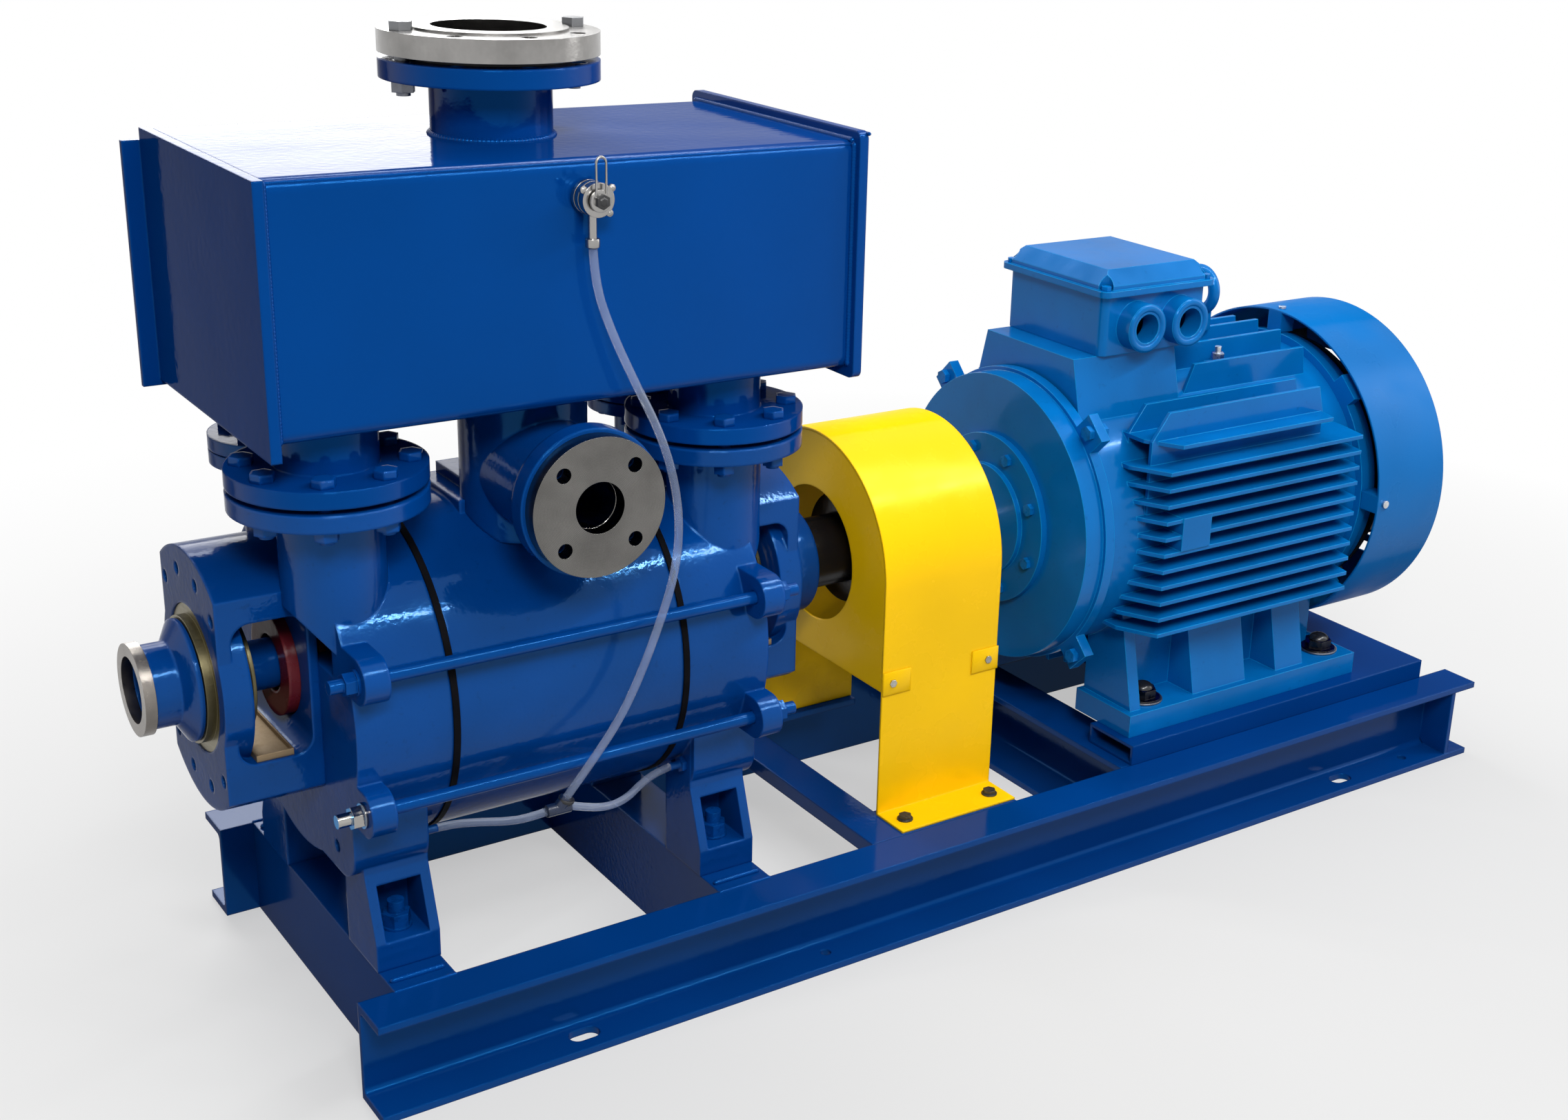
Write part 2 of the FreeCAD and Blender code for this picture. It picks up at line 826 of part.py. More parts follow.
def gland_parts():
    """Slinger rings beside the bearings, packing housings at the covers, drip trays."""
    rings, housings, trays = [], [], []
    x_ring = left_bracket_face + boss_length + 4
    x_cover = pump_x - cover_outer
    ring = ring_x(gold_ring_r, shaft_r + bore_clearance, x_ring, x_ring + gold_ring_t)
    ring = ring.cut(ring_x(gold_ring_r + 1, gold_ring_r - 6, x_ring + 4, x_ring + 8))
    housing = ring_x(packing_r, keyed_r + running_gap, x_cover - packing_length,
                     x_cover + packing_seat)
    flange = ring_x(packing_flange_r, keyed_r + running_gap,
                    x_cover + packing_seat - packing_flange_t, x_cover + packing_seat)
    housing = join([housing, flange])
    floor_z = shaft_z + window_rise - window_height / 2 + seat_gap
    tray_x0 = left_bracket_face + boss_length + 3
    tray_x1 = left_bracket_face + bracket_plate + window_width - window_corner
    tray_y = bracket_flat_y - 4
    tray = block(tray_x0, tray_x1, -tray_y, tray_y, floor_z, floor_z + tray_height)
    scoop = block(tray_x0 + tray_t, tray_x1 - tray_t, -tray_y + tray_t, tray_y - tray_t,
                  floor_z + tray_t, floor_z + tray_height + 1)
    tray = tray.cut(scoop)
    rings.append(ring)
    housings.append(housing)
    trays.append(tray)
    for group in (rings, housings, trays):
        group.append(mirror_x(group[0], pump_x))
    keep("slinger_rings", *rings)
    keep("packing_housings", *housings)
    keep("drip_trays", *trays)


gland_parts()


# Rotating parts of the pump
shaft_left_x = left_bracket_face - end_ring_t - 24
pump_shaft = join([
    rod_x(shaft_r, shaft_left_x, hub_face_x - 4),
    rod_x(keyed_r, pump_x - plate_outer - 20, pump_x + plate_outer + 20),
])
keep("pump_shaft", pump_shaft)


def impeller():
    """Hub with forward curved blades between two port plates."""
    half = plate_inner - running_gap
    body = [rod_x(impeller_hub_r, pump_x - half, pump_x + half)]
    for i in range(blade_count):
        turn = 360.0 * i / blade_count
        points = []
        for offset in (-blade_t / 2, blade_t / 2):
            row = []
            for share in (0.0, 0.5, 1.0):
                r = impeller_hub_r - 6 + share * (impeller_r - impeller_hub_r + 6)
                a = math.radians(blade_sweep * share * share)
                row.append(V(pump_x - half, r * math.cos(a) - offset * math.sin(a),
                             shaft_z + r * math.sin(a) + offset * math.cos(a)))
            points.append(row)
        inner_row, outer_row = points
        edges = [
            Part.Arc(inner_row[0], inner_row[1], inner_row[2]).toShape(),
            Part.LineSegment(inner_row[2], outer_row[2]).toShape(),
            Part.Arc(outer_row[2], outer_row[1], outer_row[0]).toShape(),
            Part.LineSegment(outer_row[0], inner_row[0]).toShape(),
        ]
        blade = Part.Face(Part.Wire(edges)).extrude(V(2 * half, 0, 0))
        blade.rotate(V(0, 0, shaft_z), V(1, 0, 0), turn)
        body.append(blade)
    limit = rod_x(impeller_r, pump_x - half - 1, pump_x + half + 1)
    return join(body).common(limit).cut(rod_x(keyed_r + bore_clearance, pump_x - half - 1,
                                              pump_x + half + 1))


keep("impeller", impeller())


def shaft_end_hub():
    """Blue cap and hub on the free end of the shaft, with a bright rim."""
    x_cap = left_bracket_face - end_ring_t - running_gap
    x_hub = x_cap - end_cap_length
    x_rim = x_cap - end_hub_length
    outline = [
        (x_cap, 0, shaft_r + bore_clearance),
        (x_cap, 0, end_cap_r),
        (x_cap - 5, 0, end_cap_r),
        (x_hub, 0, end_hub_r),
        (x_rim, 0, end_hub_r),
        (x_rim, 0, rim_bore_r),
        (x_cap - 24, 0, rim_bore_r),
        (x_cap - 24, 0, shaft_r + bore_clearance),
    ]
    wire = Part.makePolygon([V(*p) for p in outline] + [V(*outline[0])])
    hub = Part.Face(wire).revolve(V(0, 0, 0), V(1, 0, 0), 360)
    hub.translate(V(0, 0, shaft_z))
    keep("shaft_end_hub", hub)
    keep("shaft_end_rim", ring_x(rim_r, rim_bore_r, x_rim - rim_t, x_rim))


shaft_end_hub()


def coupling():
    pump_hub = join([
        rod_x(hub_r, pump_hub_x, hub_face_x),
        rod_x(hub_disc_r, hub_face_x - hub_disc_t, hub_face_x),
    ])
    pump_bore = rod_x(shaft_r + bore_clearance, pump_hub_x - 1, hub_face_x + 1)
    motor_face = hub_face_x + elastic_t
    motor_hub = join([
        rod_x(hub_r, motor_face, motor_face + motor_hub_length),
        rod_x(hub_disc_r, motor_face, motor_face + hub_disc_t),
    ])
    motor_bore = rod_x(shaft_r + bore_clearance, motor_face - 1,
                       motor_face + motor_hub_length + 1)
    elastic = ring_x(elastic_r, shaft_r, hub_face_x, motor_face - seat_gap)
    keep("pump_coupling_hub", pump_hub.cut(pump_bore))
    keep("motor_coupling_hub", motor_hub.cut(motor_bore))
    keep("coupling_ring", elastic)


coupling()


# Separator tank
def tank_shell():
    """Box of four plates with rounded edges, mitred and welded, open at both ends."""
    x0 = tank_x0 + tank_end_t
    x1 = tank_x1 - tank_end_t
    outer = block(x0, x1, tank_front, tank_rear, tank_z0, tank_z1)
    long_edges = edges_where(outer, lambda p: abs(p.x - (x0 + x1) / 2) < 1)
    outer = outer.makeFillet(tank_corner, long_edges)
    inner = block(x0 - 1, x1 + 1, tank_front + tank_wall, tank_rear - tank_wall,
                  tank_z0 + tank_wall, tank_z1 - tank_wall)
    long_edges = edges_where(inner, lambda p: abs(p.x - (x0 + x1) / 2) < 1)
    inner = inner.makeFillet(tank_corner - tank_wall, long_edges)
    shell = outer.cut(inner)
    holes = [rod_z(neck_bore / 2, tank_z1 - tank_wall - 2, tank_z1 + 2, outlet_x, 0)]
    for side in (-1, 1):
        holes.append(rod_z(branch_pipe_bore / 2, tank_z0 - 2, tank_z0 + tank_wall + 2,
                           pump_x + side * branch_offset, -branch_y))
    holes.append(rod_z(suction_neck_r - suction_wall, tank_z0 - 2, tank_z0 + tank_wall + 2,
                       suction_x, suction_neck_y))
    holes.append(rod_y_axis(valve_pipe_r, tank_front - 2, tank_front + tank_wall + 2,
                            valve_x, valve_z))
    shell = shell.cut(holes)
    mid_z = (tank_z0 + tank_z1) / 2
    reach = (tank_z1 - tank_z0) / 2
    walls = []
    for up in (-1, 1):
        outline = [
            (x0 - 1, tank_front, mid_z + up * reach),
            (x0 - 1, tank_front + reach, mid_z),
            (x0 - 1, tank_rear - reach, mid_z),
            (x0 - 1, tank_rear, mid_z + up * reach),
        ]
        walls.append(shell.common(prism(outline, (x1 - x0 + 2, 0, 0))))
    for side in (-1, 1):
        edge = tank_rear if side > 0 else tank_front
        outline = [
            (x0 - 1, edge, tank_z0),
            (x0 - 1, edge - side * reach, mid_z),
            (x0 - 1, edge, tank_z1),
        ]
        walls.append(shell.common(prism(outline, (x1 - x0 + 2, 0, 0))))
    return walls


keep("tank_shell", *tank_shell())
left_end = block(tank_x0, tank_x0 + tank_end_t, tank_front - left_overhang, tank_rear,
                 tank_z0 - left_lip, tank_z1)
right_end = block(tank_x1 - tank_end_t, tank_x1, tank_front - right_lip,
                  tank_rear + right_lip, tank_z0 - right_lip, tank_z1 + right_lip)
right_end = right_end.makeFillet(10, edges_where(
    right_end, lambda p: abs(p.x - tank_x1 + tank_end_t / 2) < 0.1))
rear_plate = block(tank_x0 - rear_plate_left, tank_x1 - tank_end_t, tank_rear,
                   tank_rear + rear_plate_t, tank_z0 - rear_plate_lip,
                   tank_z1 - tank_corner)
keep("tank_plates", left_end, right_end, rear_plate)


def tank_branches():
    """Pipes and upper flanges under the tank, over the front nozzles."""
    branches = []
    for side in (-1, 1):
        x = pump_x + side * branch_offset
        pipe = rod_z(branch_pipe_d / 2, upper_flange_z, tank_z0, x, -branch_y)
        flange = drilled_flange(dn100, None, V(x, -branch_y, upper_flange_z), "z", 22.5)
        bore = rod_z(branch_pipe_bore / 2, upper_flange_z + dn100[4], tank_z0 + 1, x, -branch_y)
        lower_bore = rod_z(branch_bore / 2, upper_flange_z - 1, upper_flange_z + dn100[4] + 1,
                           x, -branch_y)
        branches.append(join([pipe, flange]).cut([bore, lower_bore]))
    keep("tank_branches", *branches)


tank_branches()

neck = rod_z(neck_d / 2, tank_z1, neck_flange_z + neck_flange_t, outlet_x, 0)
neck_flange_size = (dn125[0], dn125[1], dn125[2], dn125[3], neck_flange_t)
neck_flange = drilled_flange(neck_flange_size, None, V(outlet_x, 0, neck_flange_z), "z", 0)
neck_hole = rod_z(neck_bore / 2, tank_z1 - 1, neck_flange_z + neck_flange_t + 1, outlet_x, 0)
keep("outlet_neck", join([neck, neck_flange]).cut(neck_hole))
outlet_gasket = ring_z(outlet_gasket_r, neck_bore / 2, neck_flange_z + neck_flange_t,
                       outlet_flange_z, outlet_x, 0)
keep("flange_gaskets", outlet_gasket, *port_gaskets)
loose = drilled_flange(dn125, None, V(outlet_x, 0, outlet_flange_z), "z", 0)
raised = rod_z(loose_ring_r, outlet_flange_z, outlet_flange_z + dn125[4] + loose_ring_t,
               outlet_x, 0)
loose_hole = rod_z(neck_bore / 2, outlet_flange_z - 1,
                   outlet_flange_z + dn125[4] + loose_ring_t + 1, outlet_x, 0)
keep("outlet_flange", join([loose, raised]).cut(loose_hole))
outlet_grip = neck_flange_t + outlet_gap + dn125[4]
keep("outlet_bolts", *[
    bolt(16, m16_flats, m16_head, outlet_grip, m16_nut,
         V(outlet_x + side * dn125[1] / 2, 0, outlet_flange_z + dn125[4]), V(0, 0, 1))
    for side in (-1, 1)])


def suction_body():
    """Cast branch piece between casing and tank, with a branch to the front."""
    foot = block(suction_x - 62, suction_x + 62, -casing_pad_width / 2 + 4,
                 casing_pad_width / 2 - 4, casing_pad_top, casing_pad_top + 14)
    upright = rod_z(suction_neck_r, casing_z, tank_z0, suction_x, suction_neck_y)
    ring_y1 = suction_face_y + dn50[4] + suction_ring_t
    arm = rod_y_axis(suction_body_r, ring_y1 - 1, suction_neck_y, suction_x, suction_z)
    elbow = Part.makeSphere(suction_neck_r, V(suction_x, suction_neck_y, suction_z))
    ring_size = (suction_ring_d, dn50[1], dn50[2], dn50[3], suction_ring_t)
    ring = drilled_flange(ring_size, None, V(suction_x, suction_face_y + dn50[4], suction_z),
                          "y", 45)
    limit = rod_x(casing_r + seat_gap, suction_x - 200, suction_x + 200, 0, casing_z)
    pad_room = block(suction_x - 200, suction_x + 200, -casing_pad_width / 2 - seat_gap,
                     casing_pad_width / 2 + seat_gap, casing_z, casing_pad_top)
    lower = block(suction_x - 200, suction_x + 200, suction_neck_y - 200, 200, 0, suction_low)
    body = join([foot, upright, arm, elbow]).cut([limit, pad_room, lower])
    bore = rod_y_axis(suction_bore_r, suction_face_y, suction_neck_y, suction_x, suction_z)
    up_bore = rod_z(suction_neck_r - suction_wall, suction_z - 20, tank_z0 + 1, suction_x,
                    suction_neck_y)
    studs = [rod_y_axis(dn50[3] / 2, p.y - 1, ring_y1 + stud_room, p.x, p.z)
             for p in circle_points(V(suction_x, suction_face_y, suction_z), dn50[1],
                                    dn50[2], "y", 45)]
    return join([body, ring]).cut([bore, up_bore] + studs)


keep("suction_body", suction_body())
keep("suction_flange", drilled_flange(dn50, 2 * suction_bore_r,
                                      V(suction_x, suction_face_y, suction_z), "y", 45))


# Coupling guard
def guard_sheet():
    """Bent sheet arch with two legs and turned-out feet."""
    length = guard_x1 - guard_x0
    inner_r = guard_r - guard_t
    drum = ring_x(guard_r, inner_r, guard_x0, guard_x1)
    drum = drum.cut(block(guard_x0 - 1, guard_x1 + 1, -guard_r - 1, guard_r + 1, 0, shaft_z))
    body = [drum]
    for sign in (-1, 1):
        low, high = sorted((sign * inner_r, sign * guard_r))
        body.append(block(guard_x0, guard_x1, low, high, base_height, shaft_z))
        low, high = sorted((sign * inner_r, sign * guard_foot_y))
        body.append(block(guard_x0, guard_x1, low, high, base_height, base_height + guard_t))
    whole = join(body)
    whole = whole.makeFillet(guard_t, edges_where(
        whole, lambda p: abs(abs(p.y) - inner_r) < 0.1 and abs(p.z - base_height) < 0.1))
    holes = []
    for x in (guard_x0 + guard_foot_bolt_inset, guard_x1 - guard_foot_bolt_inset):
        for sign in (-1, 1):
            holes.append(rod_z(guard_bolt_hole_r, base_height - 1, base_height + guard_t + 1, x,
                               sign * guard_foot_bolt_y))
    for x in guard_tab_x:
        for sign in (-1, 1):
            low, high = sorted((sign * (inner_r - 1), sign * (guard_r + 1)))
            holes.append(rod_y_axis(tab_hole_r, low, high, x, guard_tab_z))
    return whole.cut(holes)


guard_tab_x = (guard_x0 + guard_bolt_inset, guard_x1 - guard_bolt_inset)
guard_tab_z = guard_end_bottom + 12
keep("guard_cover", guard_sheet())


def guard_end(x0):
    """End plate inside the arch, with a shaft hole and two fixing tabs."""
    r = guard_r - guard_t - seat_gap
    plate = rod_x(r, x0, x0 + guard_t)
    lower = block(x0, x0 + guard_t, -r, r, guard_end_bottom, shaft_z)
    keep_out = block(x0 - 1, x0 + guard_t + 1, -r - 1, r + 1, 0, guard_end_bottom)
    plate = join([plate, lower]).cut(keep_out)
    tabs = []
    inward = 1 if x0 < (guard_x0 + guard_x1) / 2 else -1
    tab_x0, tab_x1 = sorted((x0, x0 + inward * guard_tab))
    for sign in (-1, 1):
        low, high = sorted((sign * (r - guard_t), sign * r))
        tab = block(tab_x0, tab_x1, low, high, guard_end_bottom, guard_end_bottom + 28)
        tab = tab.cut(rod_y_axis(tab_hole_r, low - 1, high + 1, guard_tab_x[0 if inward > 0 else 1],
                                 guard_tab_z))
        tabs.append(tab)
    hole = rod_x(guard_hole_r, x0 - 1, x0 + guard_t + 1)
    return join([plate] + tabs).cut(hole)


keep("guard_ends", guard_end(guard_x0 + guard_end_inset),
     guard_end(guard_x1 - guard_t - guard_end_inset))


def guard_bolts():
    bolts = []
    for sign in (-1, 1):
        out = V(0, sign, 0)
        for x in guard_tab_x:
            head = V(x, sign * guard_r, guard_tab_z)
            bolts.append(bolt(6, 10, 4, 2 * guard_t + seat_gap, 5, head, out))
        for x in (guard_x0 + guard_foot_bolt_inset, guard_x1 - guard_foot_bolt_inset):
            top = V(x, sign * guard_foot_bolt_y, base_height + guard_t)
            body = bolt(10, 16, 7, guard_t + guard_rest_t, 8, top, V(0, 0, 1))
            washer = cylinder(11, 2, top, V(0, 0, 1))
            bolts.append(join([body, washer]))
    keep("guard_bolts", *bolts)


guard_bolts()


# Motor sub-frame: two hollow rails along X joined by two hollow bars along Y
def motor_rails():
    z0 = base_height
    rails = []
    for sign in (-1, 1):
        low, high = sorted((sign * rails_half, sign * (rails_half - rail_width)))
        rail = block(rails_x0, rails_x1, low, high, z0, rails_top)
        hollow = block(rails_x0 - 1, rails_x1 - rail_wall, low + rail_wall, high - rail_wall,
                       z0 + rail_wall, rails_top - rail_wall)
        rail = rail.cut(hollow)
        holes = [rod_z((motor_bolt_d + bolt_clearance) / 2, z0 - 1, rails_top + 1, x,
                       sign * motor_foot_bolt_y) for x in motor_foot_bolt_x]
        rails.append(rail.cut(holes))
    inner = rails_half - rail_width
    for x0 in (rails_x0 + 190, rails_x1 - 80):
        bar = block(x0, x0 + 80, -inner, inner, z0, rails_top)
        hollow = block(x0 + rail_wall, x0 + 80 - rail_wall, -inner - 1, inner + 1,
                       z0 + rail_wall, rails_top - rail_wall)
        rails.append(bar.cut(hollow))
    return join(rails)


keep("motor_rails", motor_rails())


# Motor frame: finned drum with two feet and a terminal box pedestal
def side_fin(x0, x1, tip, z):
    """Flat fin through the drum, with sloping ends on both sides."""
    outline = [
        (x0, -frame_r + 20, z - fin_t / 2),
        (x0 + fin_slope_left, -tip, z - fin_t / 2),
        (x1 - fin_slope_right, -tip, z - fin_t / 2),
        (x1, -frame_r + 20, z - fin_t / 2),
        (x1, frame_r - 20, z - fin_t / 2),
        (x1 - fin_slope_right, tip, z - fin_t / 2),
        (x0 + fin_slope_left, tip, z - fin_t / 2),
        (x0, frame_r - 20, z - fin_t / 2),
    ]
    return prism(outline, (0, 0, fin_t))


def top_fin(x0, x1, y, top):
    """Upright fin on the drum, with sloping ends."""
    root = min(top - 8, shaft_z + plate_fin_y)
    outline = [
        (x0, y - fin_t / 2, shaft_z),
        (x0, y - fin_t / 2, root),
        (x0 + fin_slope_left, y - fin_t / 2, top),
        (x1 - fin_slope_right, y - fin_t / 2, top),
        (x1, y - fin_t / 2, root),
        (x1, y - fin_t / 2, shaft_z),
    ]
    return prism(outline, (0, fin_t, 0))


def motor_frame():
    body = [rod_x(frame_r, frame_x0, frame_x1)]
    for i in range(side_fin_count):
        z = shaft_z + side_fin_top - i * side_fin_pitch
        body.append(side_fin(fin_x0, fin_x1, fin_tip, z))
    body.append(side_fin(shelf_x[0], shelf_x[1], fin_tip - 6, shaft_z + shelf_rise))
    for i in range(top_fin_count):
        y = (i - (top_fin_count - 1) / 2) * top_fin_pitch * 2
        if abs(y) < plate_fin_y:
            top = shaft_z + math.sqrt(fin_tip ** 2 - y ** 2)
            x1 = fin_x1
        else:
            top = shaft_z + plate_fin_top
            x1 = shelf_x[1]
        beside_box = abs(y) < pedestal_half + 8
        x0 = pedestal_x[1] + 12 if beside_box else shelf_x[0]
        body.append(top_fin(x0, x1, y, top))
    for i in range(-2, 3):
        y = i * bottom_fin_pitch
        body.append(block(fin_x0, fin_x1, y - fin_t / 2, y + fin_t / 2,
                          shaft_z - math.sqrt(fin_tip ** 2 - y ** 2) + 4, shaft_z))
    flare = pedestal_flare
    pedestal = prism([
        (pedestal_x[0], -pedestal_half, pedestal_top),
        (pedestal_x[0], pedestal_half, pedestal_top),
        (pedestal_x[0], pedestal_half + flare, shaft_z + plate_fin_y),
        (pedestal_x[0], -pedestal_half - flare, shaft_z + plate_fin_y),
    ], (pedestal_x[1] - pedestal_x[0], 0, 0))
    body.append(pedestal)
    body.append(block(sensor_pad_x[0], sensor_pad_x[1], -fin_tip - 2, -frame_r + 40,
                      sensor_pad_z[0], sensor_pad_z[1]))
    body.append(block(earth_x - earth_boss_half, earth_x + earth_boss_half,
                      earth_y - earth_boss_half, earth_y + earth_boss_half,
                      shaft_z + plate_fin_y, earth_boss_top))
    web_top = gusset_top_z + 12
    for sign in (-1, 1):
        low, high = sorted((sign * motor_foot_y, sign * 95.0))
        body.append(block(motor_foot_x0, motor_foot_x1, low, high, rails_top, foot_pad_top))
        low, high = sorted((sign * foot_web_y, sign * 100.0))
        body.append(block(foot_web_x[0], foot_web_x[1], low, high, foot_pad_top - 1, web_top))
        for x0, x1 in gusset_x:
            outline = [
                (x0, sign * (motor_foot_y - 12), foot_pad_top - 1),
                (x0, sign * gusset_top_y, gusset_top_z),
                (x0, sign * 100, web_top),
                (x0, sign * 100, foot_pad_top - 1),
            ]
            body.append(prism(outline, (x1 - x0, 0, 0)))
    whole = join(body)
    cuts = [rod_x(frame_r - frame_wall, frame_x0 - 1, frame_x1 + 1)]
    for x in motor_foot_bolt_x:
        for sign in (-1, 1):
            cuts.append(rod_z((motor_bolt_d + bolt_clearance) / 2, rails_top - 1,
                              foot_pad_top + 1, x, sign * motor_foot_bolt_y))
    cuts.append(block(box_x[0] + 20, 380, -70, 70, shaft_z + 150, pedestal_top + 1))
    return whole.cut(cuts)


keep("motor_frame", motor_frame())


def shield(x0, x1, rim_x0, ear_r, bearing_x0):
    """Motor end shield with a rim, four ears and a bearing seat."""
    rim_x1 = rim_x0 + shield_rim_t
    body = [rod_x(shield_r, rim_x0, rim_x1)]
    body.append(rod_x(shield_r - 6, x0, x1))
    ear_half = shield_ear_width / 2
    for i in range(4):
        ear = block(rim_x0, rim_x1, shield_r - 30, ear_r, shaft_z - ear_half,
                    shaft_z + ear_half)
        ear.rotate(V(0, 0, shaft_z), V(1, 0, 0), 45 + 90 * i)
        body.append(ear)
    cuts = [rod_x(motor_bearing_r + bore_clearance, bearing_x0, bearing_x0 + motor_bearing_w)]
    cuts.append(rod_x(shaft_r + 4, x0 - 1, x1 + 1))
    return join(body).cut(cuts)


front_bearing_x = shield_x0 + 10
rear_shield_x1 = frame_x1 + rear_shield_t
rear_bearing_x = frame_x1
ear_screw_pcd = 2 * shield_ear_r - 26
cap_screw_pcd = 2 * cap_r - 40
cap_screw_count = 8


def motor_shields():
    """Shields, bearings and bearing cap; returns their screws."""
    out = V(-1, 0, 0)
    front_rim = V(frame_x0 - shield_rim_t, 0, shaft_z)
    ear_points = circle_points(front_rim, ear_screw_pcd, 4, "x", 45)
    cap_points = circle_points(V(shield_x0 - cap_t, 0, shaft_z), cap_screw_pcd, cap_screw_count,
                               "x", 22.5)
    front = shield(shield_x0, frame_x0, frame_x0 - shield_rim_t, shield_ear_r, front_bearing_x)
    cup = ring_x(frame_r - frame_wall - 14, motor_bearing_r + 12, frame_x0 - 30, frame_x0 + 1)
    holes = [cylinder(6.5, shield_rim_t + 2, p + out, -out) for p in ear_points]
    front = front.cut([cup] + holes)
    rear = shield(frame_x1, rear_shield_x1, frame_x1, rear_ear_r, rear_bearing_x)
    keep("motor_shield_front", front)
    keep("motor_shield_rear", rear)
    keep("shaft_bearings", pump_bearing, mirror_x(pump_bearing, pump_x),
         bearing(front_bearing_x, motor_bearing_r, motor_bearing_w),
         bearing(rear_bearing_x, motor_bearing_r, motor_bearing_w))
    cap = ring_x(cap_r, shaft_r + running_gap, shield_x0 - cap_t, shield_x0)
    inner_cap = ring_x(inner_cap_r, shaft_r + running_gap, shield_x0 - cap_t - inner_cap_t,
                       shield_x0 - cap_t)
    cap_holes = [cylinder(5, cap_t + 2, p + out, -out) for p in cap_points]
    keep("motor_bearing_cap", join([cap, inner_cap]).cut(cap_holes))
    screws = [screw(10, 16, 7, cap_t, p, out) for p in cap_points]
    screws += [bolt(12, 19, 9, shield_rim_t, 9, p, out) for p in ear_points]
    return screws


motor_screws = motor_shields()

core_x0 = core_x - core_length / 2
core_x1 = core_x + core_length / 2
keep("stator_core", ring_x(frame_r - frame_wall, stator_bore_r, core_x0, core_x1))
motor_shaft_x0 = hub_face_x + elastic_t + 3
fan_x0 = frame_x1 + rear_shield_t + 18
rotor = join([
    rod_x(shaft_r, motor_shaft_x0, fan_x0 + 44),
    rod_x(shaft_r + 12, shield_x0 + 60, frame_x1 - 40),
    rod_x(rotor_r, core_x0, core_x1),
])
keep("motor_rotor", rotor)


def fan():
    body = [rod_x(48, fan_x0, fan_x0 + 40)]
    body.append(rod_x(fan_r, fan_x0, fan_x0 + 5))
    for i in range(fan_blades):
        blade = block(fan_x0, fan_x0 + 60, 40, fan_r, shaft_z - 2.5, shaft_z + 2.5)
        blade.rotate(V(0, 0, shaft_z), V(1, 0, 0), 360.0 * i / fan_blades)
        body.append(blade)
    return join(body).cut(rod_x(shaft_r + bore_clearance, fan_x0 - 1, fan_x0 + 61))


keep("cooling_fan", fan())


def fan_cover():
    """Sheet cover, open towards the motor, with a grille in its end."""
    x0 = frame_x1
    x1 = fan_cover_x1
    outline = [
        (x0, 0, fan_cover_r - fan_cover_t),
        (x0, 0, fan_cover_r),
        (x1 - fan_cover_chamfer, 0, fan_cover_r),
        (x1, 0, fan_cover_r - fan_cover_chamfer),
        (x1, 0, 0),
        (x1 - fan_cover_t, 0, 0),
        (x1 - fan_cover_t, 0, fan_cover_r - fan_cover_chamfer - 1),
        (x1 - fan_cover_chamfer - 1, 0, fan_cover_r - fan_cover_t),
    ]
    wire = Part.makePolygon([V(*p) for p in outline] + [V(*outline[0])])
    shell = Part.Face(wire).revolve(V(0, 0, 0), V(1, 0, 0), 360)
    shell.translate(V(0, 0, shaft_z))
    slots = []
    for i in range(-5, 6):
        z = shaft_z + i * 30.0
        half = math.sqrt(190.0 ** 2 - (i * 30.0) ** 2)
        slots.append(block(x1 - 10, x1 + 1, -half, half, z - 9, z + 9))
    post = block(x1 - fan_cover_t, x1, -12, 12, shaft_z - 200, shaft_z + 200)
    shell = shell.cut(slots).fuse(post)
    lugs = []
    for i in range(4):
        lug = block(x0, x0 + 30, shield_r - 2, fan_cover_r - fan_cover_t + 1,
                    shaft_z - 14, shaft_z + 14)
        lug.rotate(V(0, 0, shaft_z), V(1, 0, 0), 90 * i)
        lugs.append(lug)
    return join([shell] + lugs).cut(rod_x(shield_r + seat_gap, x0 - 1, x0 + rear_shield_t + 1))


keep("fan_cover", fan_cover())


def fan_cover_screws():
    screws = []
    for i in range(4):
        a = math.radians(90 * i)
        out = V(0, math.cos(a), math.sin(a))
        face = V(frame_x1 + 15, 0, shaft_z) + out * fan_cover_r
        screws.append(cylinder(6, 4, face, out))
    return screws


motor_screws += fan_cover_screws()


def motor_foot_bolts():
    bolts = []
    for x in motor_foot_bolt_x:
        for sign in (-1, 1):
            top = V(x, sign * motor_foot_bolt_y, foot_pad_top)
            stud = bolt(motor_bolt_d, 36, 18, motor_foot_t + rail_wall, 16, top, V(0, 0, 1))
            flange = cylinder(27, 5, top, V(0, 0, 1))
            bolts.append(join([stud, flange]))
    return bolts


keep("foot_bolts", *pump_foot_bolts(), *motor_foot_bolts())


